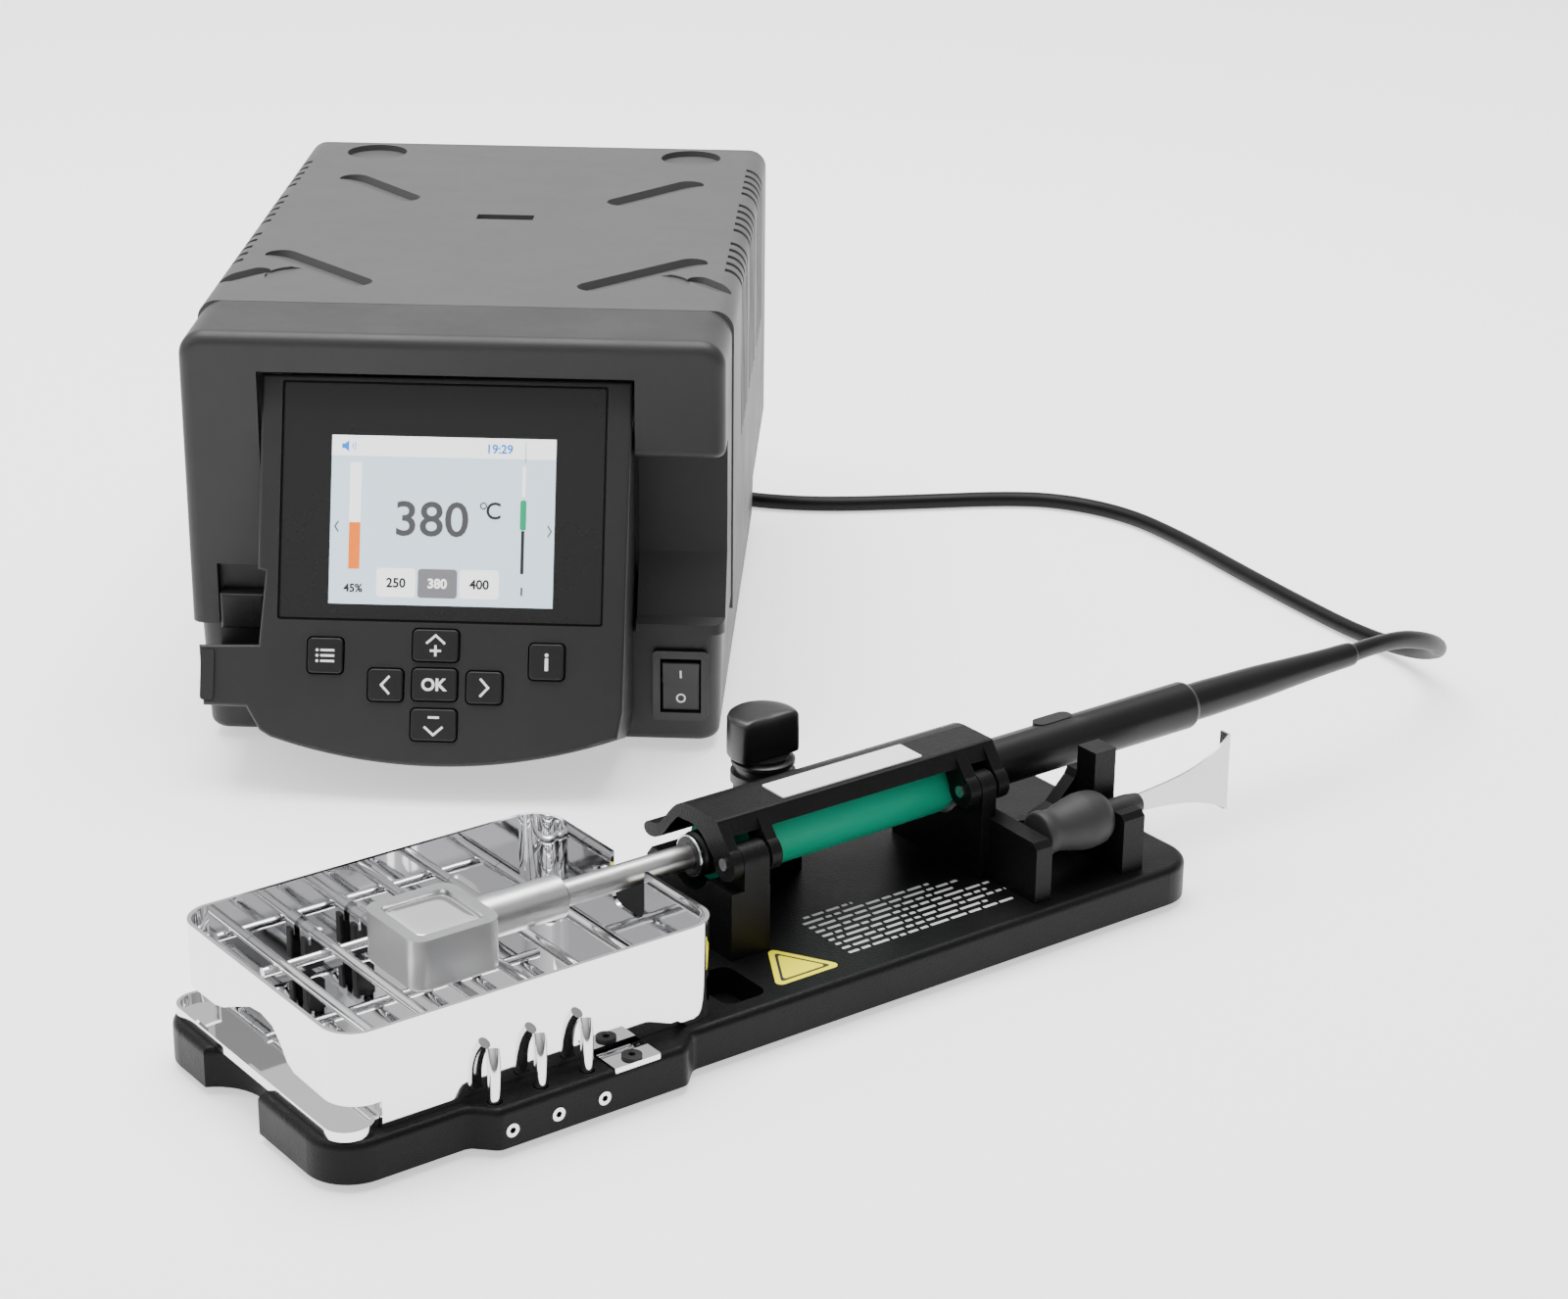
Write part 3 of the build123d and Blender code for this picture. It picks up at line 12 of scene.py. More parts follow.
import bpy
import numpy as np
from mathutils import Matrix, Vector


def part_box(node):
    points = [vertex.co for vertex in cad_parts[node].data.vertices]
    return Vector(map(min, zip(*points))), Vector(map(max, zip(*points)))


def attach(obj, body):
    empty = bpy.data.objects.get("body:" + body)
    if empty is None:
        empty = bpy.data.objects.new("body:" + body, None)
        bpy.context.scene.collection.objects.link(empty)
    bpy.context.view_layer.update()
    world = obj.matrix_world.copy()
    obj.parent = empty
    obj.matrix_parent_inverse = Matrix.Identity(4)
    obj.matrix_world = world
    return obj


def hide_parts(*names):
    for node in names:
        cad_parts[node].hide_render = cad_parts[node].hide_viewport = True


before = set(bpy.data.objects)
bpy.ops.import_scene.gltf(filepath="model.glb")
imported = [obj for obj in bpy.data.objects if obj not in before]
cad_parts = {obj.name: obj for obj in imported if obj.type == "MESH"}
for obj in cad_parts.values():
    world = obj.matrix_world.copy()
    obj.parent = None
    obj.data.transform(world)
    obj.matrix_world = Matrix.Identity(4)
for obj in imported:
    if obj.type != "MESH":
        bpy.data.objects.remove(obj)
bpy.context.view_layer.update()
LOG = logging.getLogger("station")
MM = 0.001
INK = 0.04
Array = np.ndarray
Shape = tuple[Array, list]
Colour = tuple[float, float, float]
Socket = bpy.types.NodeSocket


# ---------------------------------------------------------------- frames
@dataclass(frozen=True)
class Plane:
    """A flat face: origin in mm, and the directions of its own x and y."""

    origin: Array
    x: Array
    y: Array

    @property
    def out(self) -> Array:
        """The face's outward direction, x cross y."""
        return np.cross(self.x, self.y)

    def place(self, points: Array) -> Array:
        """Carries points from the face into the part's frame.

        Args:
            points: rows of x, y and height above the face, in mm.

        Returns:
            Rows of x, y and z in mm: origin + x along + y along + height outwards.
        """
        p = np.atleast_2d(np.asarray(points, float))
        return self.origin + p[:, :1] * self.x + p[:, 1:2] * self.y + p[:, 2:3] * self.out


def centre(node: str) -> Array:
    """Middle of a CAD node's box, in mm."""
    low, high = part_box(node)
    return (np.array(low) + np.array(high)) / 2 / MM


TILT = np.radians(22.0)
TURN = np.radians(39.07)
ALONG = np.array([np.cos(TURN), np.sin(TURN), 0.0])
ACROSS = np.array([-np.sin(TURN), np.cos(TURN), 0.0])
UP = np.array([0.0, 0.0, 1.0])
UNIT = np.array([centre("top_cover")[0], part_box("top_cover")[1][1] / MM - 218.0, 0.0])
KNOB_AXIS = centre("clamp_screw")
STAND = np.array([*(KNOB_AXIS - 165.0 * ALONG - 70.0 * ACROSS)[:2], 0.0])


def unit(x: float, y: float, z: float) -> Array:
    """A point of the control unit, in mm, in the part's frame."""
    return UNIT + np.array([x, y, z])


def stand(s: float, t: float, z: float) -> Array:
    """A point of the stand: s along it, t away from its near side, z up, in mm."""
    return STAND + s * ALONG + t * ACROSS + z * UP


CONSOLE = Plane(unit(0, 5, 109), np.array([1.0, 0, 0]), np.array([0, np.sin(TILT), np.cos(TILT)]))


def upright(y: float) -> Plane:
    """The unit's upright plane at depth y, facing forwards."""
    return Plane(unit(0, y, 0), np.array([1.0, 0, 0]), UP)


def deck(z: float) -> Plane:
    """The stand's level plane at height z, x along it and y across it."""
    return Plane(stand(0, 0, z), ALONG, ACROSS)


# ---------------------------------------------------------------- finishes
def carry(node: bpy.types.Node, source: tuple[float, float], target: tuple[float, float]) -> None:
    """Sets a Map Range node so that it carries the source range onto the target range."""
    for name, value in zip(("From Min", "From Max", "To Min", "To Max"), (*source, *target)):
        node.inputs[name].default_value = value


class Grain(Enum):
    """How a surface's relief is patterned."""

    FINE = "fine moulded grain"
    CAST = "textured coat over a casting"
    BRUSHED = "drawn lines"
    POLISHED = "slow waves of polished sheet"
    PRINT = "flat ink"
    FOAM = "soft skin with pores"


@dataclass(frozen=True)
class Finish:
    """One material: colour in linear RGB with its second tone, gloss range, and relief."""

    name: str
    colour: Colour
    tone: Colour
    rough: tuple[float, float] = (0.4, 0.5)
    metal: float = 0.0
    grain: Grain = Grain.FINE
    scale: float = 900.0
    relief: float = 0.05
    patch: float = 35.0
    glow: float = 0.0
    wear: float = 0.0
    stretch: tuple[float, float, float] = (1.0, 1.0, 1.0)
    turn: float = 0.0
    specular: float = 0.5

    def make(self) -> bpy.types.Material:
        """Builds the node tree once and keeps it by name.

        Returns:
            The material: Object coordinates drive a slow noise that mixes the two tones and the gloss, and a fine
            pattern, chosen by the grain, that drives the bump.
        """
        known = bpy.data.materials.get(self.name)
        if known:
            return known
        material = bpy.data.materials.new(self.name)
        material.use_nodes = True
        tree = material.node_tree
        tree.nodes.clear()
        add, link = tree.nodes.new, tree.links.new
        out, shader = add("ShaderNodeOutputMaterial"), add("ShaderNodeBsdfPrincipled")
        link(shader.outputs[0], out.inputs[0])
        where, turned = add("ShaderNodeTexCoord"), add("ShaderNodeMapping")
        turned.inputs["Rotation"].default_value = (0.0, 0.0, self.turn)
        turned.inputs["Scale"].default_value = self.stretch
        link(where.outputs["Object"], turned.inputs["Vector"])
        slow = add("ShaderNodeTexNoise")
        slow.inputs["Scale"].default_value = self.patch
        slow.inputs["Detail"].default_value = 6.0
        slow.inputs["Roughness"].default_value = 0.62
        link(where.outputs["Object"], slow.inputs["Vector"])
        colour = self._mix(add, link, slow.outputs["Fac"], self.colour, self.tone)
        fine = add("ShaderNodeTexVoronoi" if self.grain is Grain.CAST else "ShaderNodeTexNoise")
        fine.inputs["Scale"].default_value = self.scale
        if self.grain is Grain.CAST:
            fine.feature = "SMOOTH_F1"
        else:
            fine.inputs["Detail"].default_value = 3.0
        link(turned.outputs["Vector"], fine.inputs["Vector"])
        height = fine.outputs["Distance" if self.grain is Grain.CAST else "Fac"]
        if self.wear:
            edge = self._edge(add, link)
            gain = add("ShaderNodeMath")
            gain.operation = "MULTIPLY"
            link(edge, gain.inputs[0])
            link(slow.outputs["Fac"], gain.inputs[1])
            worn = add("ShaderNodeMix")
            worn.data_type = "RGBA"
            worn.inputs["B"].default_value = (*(min(1.0, c * 3.4 + 0.02) for c in self.tone), 1.0)
            link(gain.outputs[0], worn.inputs["Factor"])
            link(colour, worn.inputs["A"])
            colour = worn.outputs["Result"]
        link(colour, shader.inputs["Base Color"])
        gloss = add("ShaderNodeMapRange")
        carry(gloss, (0.3, 0.7), self.rough)
        link((fine if self.grain is Grain.BRUSHED else slow).outputs["Fac"], gloss.inputs["Value"])
        link(gloss.outputs["Result"], shader.inputs["Roughness"])
        bump = add("ShaderNodeBump")
        bump.inputs["Strength"].default_value = 0.6
        bump.inputs["Distance"].default_value = self.relief * MM
        link(height, bump.inputs["Height"])
        link(bump.outputs["Normal"], shader.inputs["Normal"])
        shader.inputs["Metallic"].default_value = self.metal
        shader.inputs["Specular IOR Level"].default_value = self.specular
        # Emission: the screens' real backlight, the floor's even white, and on the solder a painted highlight.
        if self.glow:
            link(colour, shader.inputs["Emission Color"])
            shader.inputs["Emission Strength"].default_value = self.glow
        material.diffuse_color = (*self.colour, 1.0)
        return material

    @staticmethod
    def _mix(add: Callable, link: Callable, factor: Socket, first: Colour, second: Colour) -> Socket:
        """Mixes two colours.

        Args:
            add: adds a node of a kind to the tree.
            link: links two sockets.
            factor: the second colour's share.
            first: the colour at nought.
            second: the colour at one.

        Returns:
            The mixed colour's socket.
        """
        mix = add("ShaderNodeMix")
        mix.data_type = "RGBA"
        mix.inputs["A"].default_value = (*first, 1.0)
        mix.inputs["B"].default_value = (*second, 1.0)
        link(factor, mix.inputs["Factor"])
        return mix.outputs["Result"]

    def _edge(self, add: Callable, link: Callable) -> Socket:
        """Finds edges: one less the dot of the true and the rounded normal, stretched.

        Args:
            add: adds a node of a kind to the tree.
            link: links two sockets.

        Returns:
            The socket that is the wear at an edge and nought on a flat face.
        """
        bevel, true = add("ShaderNodeBevel"), add("ShaderNodeNewGeometry")
        bevel.samples = 4
        bevel.inputs["Radius"].default_value = 0.7 * MM
        dot, span = add("ShaderNodeVectorMath"), add("ShaderNodeMapRange")
        dot.operation = "DOT_PRODUCT"
        link(bevel.outputs["Normal"], dot.inputs[0])
        link(true.outputs["True Normal"], dot.inputs[1])
        carry(span, (0.995, 0.86), (0.0, self.wear))
        link(dot.outputs["Value"], span.inputs["Value"])
        return span.outputs["Result"]


def grey(value: float, spread: float = 0.12) -> dict[str, Colour]:
    """Two near neutral tones round a grey."""
    return {"colour": (value * (1 - spread),) * 3, "tone": (value * (1 + spread),) * 3}


COVER = Finish("cover_grained", **grey(0.056, 0.06), rough=(0.5, 0.62), scale=1500, relief=0.06, specular=0.4)
HOOD = Finish("hood_moulded", **grey(0.019, 0.07), rough=(0.42, 0.54), scale=1900, relief=0.035, specular=0.3)
CONSOLE_SKIN = Finish("console_moulded", **grey(0.018, 0.07), rough=(0.4, 0.5), scale=1900, relief=0.03,
                      specular=0.3)
KEY_SKIN = Finish("key_moulded", **grey(0.01, 0.07), rough=(0.36, 0.46), scale=2100, relief=0.02, specular=0.3)
LENS = Finish("lens_black", **grey(0.012, 0.02), rough=(0.27, 0.28), scale=2500, relief=0.0, patch=12,
              specular=0.35)
GLOSS_BLACK = Finish("gloss_black", **grey(0.009, 0.15), rough=(0.3, 0.4), scale=1200, relief=0.008, specular=0.4)
DARK = Finish("groove_black", **grey(0.006, 0.2), rough=(0.55, 0.7), scale=1200, relief=0.02)
CAST_BLACK = Finish("casting_coat", **grey(0.0035, 0.2), rough=(0.34, 0.46), grain=Grain.CAST, scale=2600,
                    relief=0.12, wear=0.25, specular=0.12)
RUBBER = Finish("rubber_feet", **grey(0.02, 0.15), rough=(0.7, 0.85), relief=0.05)
MIRROR = Finish("mirror_sheet", (0.86, 0.86, 0.87), (0.8, 0.8, 0.81), rough=(0.03, 0.06), metal=1.0,
                grain=Grain.POLISHED, scale=60, relief=0.05)
BRIGHT = Finish("bright_rod", (0.82, 0.82, 0.83), (0.72, 0.72, 0.73), rough=(0.07, 0.14), metal=1.0, scale=700,
                relief=0.01)
POT_STEEL = Finish("pot_satin", (0.44, 0.44, 0.44), (0.38, 0.38, 0.38), rough=(0.32, 0.4), metal=1.0,
                   grain=Grain.BRUSHED, scale=900, relief=0.008, stretch=(1, 1, 0.2), turn=-TURN, patch=60)
SHAFT_STEEL = Finish("shaft_satin", (0.56, 0.555, 0.55), (0.46, 0.455, 0.45), rough=(0.28, 0.36), metal=1.0,
                     grain=Grain.BRUSHED, scale=700, relief=0.004, stretch=(0.2, 1, 1), turn=-TURN, patch=60)
# Faint emission on the solder: a painted highlight that brightens the pool, which gives off no light of its own.
SOLDER_PAINTED_SHINE = Finish("solder_painted_shine", (0.9, 0.9, 0.9), (0.84, 0.84, 0.83), rough=(0.03, 0.09), metal=1.0,
                grain=Grain.POLISHED, scale=110, relief=0.02, patch=120, glow=0.4)
GRIP = Finish("grip_green", (0.0, 0.235, 0.135), (0.0, 0.275, 0.16), rough=(0.46, 0.58), grain=Grain.FOAM,
              scale=1300, relief=0.03, patch=60, specular=0.18)
HANDLE = Finish("handle_satin", **grey(0.004, 0.15), rough=(0.32, 0.42), scale=1500, relief=0.02, specular=0.25)
CORD_SKIN = Finish("cord_sheath", **grey(0.003, 0.2), rough=(0.36, 0.48), scale=1100, relief=0.03, specular=0.15)
SCRAPER_SKIN = Finish("scraper_soft", **grey(0.017, 0.12), rough=(0.5, 0.65), scale=1300, relief=0.04, specular=0.3)
BLADE = Finish("blade_brushed", (0.56, 0.56, 0.57), (0.48, 0.48, 0.49), rough=(0.2, 0.3), metal=1.0,
               grain=Grain.BRUSHED, scale=300, relief=0.01, stretch=(1, 1, 12), turn=-TURN)
PLATE = Finish("plate_film", (0.82, 0.82, 0.82), (0.74, 0.74, 0.745), rough=(0.3, 0.4), relief=0.01)
BOARD = Finish("board_mask", (0.01, 0.12, 0.045), (0.015, 0.17, 0.07), rough=(0.3, 0.4), scale=900, relief=0.03)
PANEL = Finish("panel_coat", **grey(0.05, 0.1), rough=(0.45, 0.6), grain=Grain.CAST, scale=1500, relief=0.06)
WINDING = Finish("winding_tape", (0.5, 0.32, 0.07), (0.6, 0.42, 0.12), rough=(0.25, 0.4), scale=400, relief=0.2)
ALLOY = Finish("alloy_drawn", (0.62, 0.62, 0.63), (0.5, 0.5, 0.51), rough=(0.28, 0.4), metal=1.0,
               grain=Grain.BRUSHED, scale=400, relief=0.02, stretch=(1, 0.1, 1))
ZINC = Finish("zinc_plate", (0.5, 0.5, 0.51), (0.4, 0.4, 0.42), rough=(0.25, 0.4), metal=1.0, relief=0.02)
WHITE_INK = Finish("ink_white", (0.86, 0.86, 0.86), (0.78, 0.78, 0.78), rough=(0.45, 0.55), grain=Grain.PRINT,
                   relief=0.004)
GREY_INK = Finish("ink_grey", (0.5, 0.5, 0.5), (0.44, 0.44, 0.44), rough=(0.5, 0.6), grain=Grain.PRINT,
                  relief=0.004)
YELLOW_INK = Finish("ink_yellow", (0.86, 0.78, 0.0), (0.8, 0.72, 0.0), rough=(0.3, 0.4), relief=0.004)


def lit(name: str, colour: Colour, glow: float) -> Finish:
    """A backlit colour of the display, faintly uneven like a real panel."""
    return Finish(name, colour, tuple(c * 0.965 for c in colour), rough=(0.25, 0.3), grain=Grain.PRINT, scale=2400,
                  relief=0.002, patch=18, glow=glow)


SCREEN_BLUE = lit("screen_body", (0.56, 0.70, 0.78), 0.75)
SCREEN_WHITE = lit("screen_white", (0.86, 0.87, 0.89), 1.1)
SCREEN_GREY = lit("screen_grey", (0.022, 0.022, 0.024), 0.02)
SCREEN_KEY = lit("screen_key", (0.17, 0.165, 0.18), 0.4)
SCREEN_SKY = lit("screen_sky", (0.01, 0.22, 0.75), 0.35)
SCREEN_ORANGE = lit("screen_orange", (1.0, 0.2, 0.0), 0.25)
SCREEN_DIGIT = lit("screen_digit", (0.075, 0.075, 0.08), 0.05)
SCREEN_GREEN = lit("screen_green", (0.0, 0.32, 0.14), 0.3)

NODE_FINISH: dict[str, Finish] = {
    "top_cover": COVER, "front_bezel": HOOD, "base_tray": HOOD, "rear_panel": PANEL, "console_housing": CONSOLE_SKIN,
    "display_glass": LENS, "lcd_module": DARK, "keypad_board": BOARD, "console_latch": KEY_SKIN,
    "switch_housing": GLOSS_BLACK, "power_rocker": GLOSS_BLACK, "main_board": BOARD, "toroid_transformer": WINDING,
    "toroid_bolt": ZINC, "heat_sink": ALLOY, "mains_inlet": GLOSS_BLACK, "fuse_drawer": GLOSS_BLACK,
    "tool_sockets": BRIGHT, "earth_terminal": ZINC, "unit_feet": RUBBER, "case_screws": ZINC,
    "stand_base": CAST_BLACK, "stand_feet": RUBBER, "splash_guard": MIRROR, "drip_tray": MIRROR, "cross_bars": BRIGHT,
    "rest_posts": GLOSS_BLACK, "finger_rods": BRIGHT, "set_screws": BRIGHT, "wear_pads": MIRROR, "pad_screws": DARK,
    "clamp_lid": CAST_BLACK, "lid_plate": PLATE, "hinge_pins": ZINC, "knob_collar": GLOSS_BLACK, "clamp_screw": ZINC,
    "scraper_ferrule": SCRAPER_SKIN, "scraper_blade": BLADE, "handle_body": HANDLE, "handle_collar": HANDLE,
    "cartridge_shaft": SHAFT_STEEL, "solder_pot": POT_STEEL, "cord_connector": GLOSS_BLACK,
}


def dress(node: str, finish: Finish) -> None:
    """Gives a CAD node its finish through its material slots."""
    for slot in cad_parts[node].material_slots:
        slot.material = finish.make()


# ---------------------------------------------------------------- meshes
def linked(name: str, data: bpy.types.ID) -> bpy.types.Object:
    """A new object that holds the data, linked to the scene.

    Args:
        name: the object's name.
        data: its mesh, curve, light or camera.

    Returns:
        The object.
    """
    piece = bpy.data.objects.new(name, data)
    bpy.context.scene.collection.objects.link(piece)
    return piece


def posed(side: Array, up: Array, back: Array, place: Array) -> Matrix:
    """An object's matrix from the directions of its own x, y and z and from its place."""
    return Matrix([*np.column_stack([side, up, back, place]).tolist(), [0, 0, 0, 1]])


def full_turn(steps: int) -> Array:
    """Even angles round one turn, without its end."""
    return np.linspace(0, 2 * np.pi, steps, endpoint=False)


def as_object(name: str, points: Array, faces: list, finish: Finish, smooth: bool = False) -> bpy.types.Object:
    """Makes a mesh object with its place in its mesh.

    Args:
        name: the piece's name.
        points: vertices in mm, in the part's frame.
        faces: lists of vertex indices, each face seen from outside going anticlockwise.
        finish: its material.
        smooth: whether the faces are shaded smooth.

    Returns:
        The new object, linked to the scene.
    """
    mesh = bpy.data.meshes.new(name)
    mesh.from_pydata((np.asarray(points) * MM).tolist(), [], faces)
    mesh.polygons.foreach_set("use_smooth", [smooth] * len(mesh.polygons))
    mesh.materials.append(finish.make())
    mesh.update()
    return linked(name, mesh)


def keep(piece: bpy.types.Object, body: str, slot: str, *nodes: str) -> bpy.types.Object:
    """Rides a piece on its body, hides the CAD nodes that it stands for, and reports it.

    Args:
        piece: the finished object.
        body: the body it moves with.
        slot: not used.
        nodes: the CAD nodes it replaces.

    Returns:
        The piece.
    """
    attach(piece, body)
    if nodes:
        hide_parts(*nodes)
    LOG.info("%s rides %s", piece.name, body)
    return piece


def lathe_faces(rings: int, around: int, first: int = 0) -> list:
    """Quads of a closed surface of rings, with a pole before the first ring and one after the last.

    Args:
        rings: number of rings.
        around: points in each ring.
        first: index of the first pole, which the rings and then the last pole follow.

    Returns:
        The faces as index lists.
    """
    ring = np.arange(rings * around).reshape(rings, around) + first + 1
    nxt = np.roll(ring, -1, axis=1)
    sides = np.stack([ring[:-1], nxt[:-1], nxt[1:], ring[1:]], axis=-1).reshape(-1, 4)
    end = first + 1 + rings * around
    start = np.stack([np.full(around, first), nxt[0], ring[0]], axis=-1)
    stop = np.stack([np.full(around, end), ring[-1], nxt[-1]], axis=-1)
    return sides.tolist() + start.tolist() + stop.tolist()


def smooth_profile(knots: Array, count: int) -> Array:
    """A rounded line through knots: each coordinate interpolated over chord length with a monotone cubic.

    Args:
        knots: rows of station and radius.
        count: number of points returned.

    Returns:
        count rows of station and radius.
    """
    knots = np.asarray(knots, float)
    span = np.concatenate([[0.0], np.cumsum(np.hypot(*np.diff(knots, axis=0).T))])
    at = np.linspace(0.0, span[-1], count)
    step = np.diff(span)
    slope = np.diff(knots, axis=0) / step[:, None]
    both = slope[:-1] * slope[1:] > 0
    middle = np.where(both, 2 * slope[:-1] * slope[1:] / np.where(both, slope[:-1] + slope[1:], 1.0), 0.0)
    tangent = np.vstack([slope[:1], middle, slope[-1:]])
    k = np.clip(np.searchsorted(span, at, side="right") - 1, 0, len(step) - 1)
    u = ((at - span[k]) / step[k])[:, None]
    h = step[k][:, None]
    return ((2 * u**3 - 3 * u**2 + 1) * knots[k] + (u**3 - 2 * u**2 + u) * h * tangent[k]
            + (3 * u**2 - 2 * u**3) * knots[k + 1] + (u**3 - u**2) * h * tangent[k + 1])


def turned(profile: Array, origin: Array, axis: Array, across: Array, around: int = 64) -> Shape:
    """A surface of revolution: origin + station along the axis + radius around it.

    Args:
        profile: rows of station and radius in mm, in order along the axis.
        origin: where the station is nought.
        axis: direction of the axis.
        across: a direction square to the axis.
        around: points in each ring.

    Returns:
        The vertices and the faces.
    """
    other = np.cross(axis, across)
    angle = full_turn(around)
    ring = np.cos(angle)[:, None] * across + np.sin(angle)[:, None] * other
    body = origin + profile[:, :1, None].transpose(0, 2, 1) * axis + profile[:, 1][:, None, None] * ring
    ends = [origin + profile[0, 0] * axis, origin + profile[-1, 0] * axis]
    points = np.vstack([ends[0], body.reshape(-1, 3), ends[1]])
    return points, lathe_faces(len(profile), around)


def plates(outlines: list[Array], plane: Plane, base: float, thick: float) -> Shape:
    """Flat shapes with straight sides, raised on a face.

    Args:
        outlines: closed outlines on the face, each anticlockwise, in mm.
        plane: the face.
        base: height of their undersides above the face.
        thick: their thickness.

    Returns:
        The vertices and the faces of all of them.
    """
    points, faces, first = [], [], 0
    for line in outlines:
        line = np.asarray(line, float)
        n = len(line)
        for height in (base, base + thick):
            points.append(plane.place(np.column_stack([line, np.full(n, height)])))
        low = np.arange(n) + first
        top = low + n
        after = np.roll(low, -1)
        faces += [low[::-1].tolist(), top.tolist()]
        faces += np.stack([low, after, after + n, top], axis=-1).tolist()
        first += 2 * n
    return np.vstack(points), faces


def rounded(x: float, y: float, w: float, h: float, r: float, steps: int = 6) -> Array:
    """Outline of a rectangle with round corners: each corner's centre plus a quarter circle.

    Args:
        x, y: its middle.
        w, h: its width and height.
        r: the corners' radius.
        steps: points in each corner.

    Returns:
        The outline, anticlockwise.
    """
    angle = np.linspace(0, np.pi / 2, steps)
    quarter = np.arange(4)[:, None] * np.pi / 2 + angle
    cx = np.array([1, -1, -1, 1])[:, None] * (w / 2 - r)
    cy = np.array([1, 1, -1, -1])[:, None] * (h / 2 - r)
    return np.column_stack([(x + cx + r * np.cos(quarter)).ravel(), (y + cy + r * np.sin(quarter)).ravel()])


def disc(x: float, y: float, r: float, steps: int = 24) -> Array:
    """Outline of a circle."""
    angle = full_turn(steps)
    return np.column_stack([x + r * np.cos(angle), y + r * np.sin(angle)])


def stroke(line: Array | list, width: float) -> Array:
    """Outline of a bent line of even width: both sides offset by half of it along the mitred normals.

    Args:
        line: its points, in mm.
        width: its width.

    Returns:
        The outline, anticlockwise.
    """
    line = np.asarray(line, float)
    run = np.diff(line, axis=0)
    run /= np.linalg.norm(run, axis=1)[:, None]
    normal = np.column_stack([-run[:, 1], run[:, 0]])
    mitre = np.vstack([normal[:1], normal[:-1] + normal[1:], normal[-1:]])
    mitre /= (mitre * np.vstack([normal[:1], normal])).sum(1)[:, None]
    side = mitre * width / 2
    return np.vstack([line - side, (line + side)[::-1]])


def flat_ring(plane: Plane, middle: tuple[float, float], radius: float, width: float, base: float,
              thick: float) -> Shape:
    """A raised ring on a face: four circles joined by quads into its walls, its top and its underside.

    Args:
        plane: the face.
        middle: the ring's middle on the face, in mm.
        radius: its outer radius.
        width: the width of its line.
        base: height of its underside.
        thick: its thickness.

    Returns:
        The vertices and the faces.
    """
    n = 28
    corners = ((radius, base), (radius, base + thick), (radius - width, base + thick), (radius - width, base))
    rows = [np.column_stack([disc(*middle, r, n), np.full(n, height)]) for r, height in corners]
    index = np.arange(4 * n).reshape(4, n)
    after = np.roll(index, -1, axis=1)
    faces = np.stack([index, after, np.roll(after, -1, axis=0), np.roll(index, -1, axis=0)], axis=-1)
    return plane.place(np.vstack(rows)), faces.reshape(-1, 4).tolist()


def lettered(text: str, size: float, plane: Plane, at: tuple[float, float], base: float, thick: float,
             heavy: float = 0.0, wide: float = 1.0) -> Shape:
    """Digits or a plain sign as a closed mesh on a face.

    Args:
        text: what it says.
        size: the type's size in mm.
        plane: the face.
        at: the middle of the text on the face.
        base: height of its underside.
        thick: its thickness.
        heavy: how much the strokes are fattened, in mm.
        wide: how much it is widened.

    Returns:
        The vertices and the faces.
    """
    curve = bpy.data.curves.new("type", "FONT")
    curve.body, curve.size, curve.extrude, curve.offset = text, size, thick / 2, heavy
    curve.align_x, curve.align_y, curve.resolution_u = "LEFT", "BOTTOM", 4
    holder = linked("type", curve)
    bpy.context.view_layer.update()
    mesh = bpy.data.meshes.new_from_object(holder.evaluated_get(bpy.context.evaluated_depsgraph_get()))
    flat = np.zeros(len(mesh.vertices) * 3)
    mesh.vertices.foreach_get("co", flat)
    flat = flat.reshape(-1, 3)
    faces = [list(p.vertices) for p in mesh.polygons]
    bpy.data.objects.remove(holder)
    bpy.data.meshes.remove(mesh)
    flat[:, :2] -= (flat[:, :2].min(0) + flat[:, :2].max(0)) / 2
    flat[:, 0] *= wide
    flat += np.array([at[0], at[1], base + thick / 2])
    return plane.place(flat), faces


def joined(parts: list[Shape]) -> Shape:
    """Several meshes as one: the vertices stacked and each one's faces counted on from the last.

    Args:
        parts: the meshes.

    Returns:
        The vertices and the faces of all of them.
    """
    points, faces, first = [], [], 0
    for p, f in parts:
        points.append(p)
        faces += [[i + first for i in face] for face in f]
        first += len(p)
    return np.vstack(points), faces


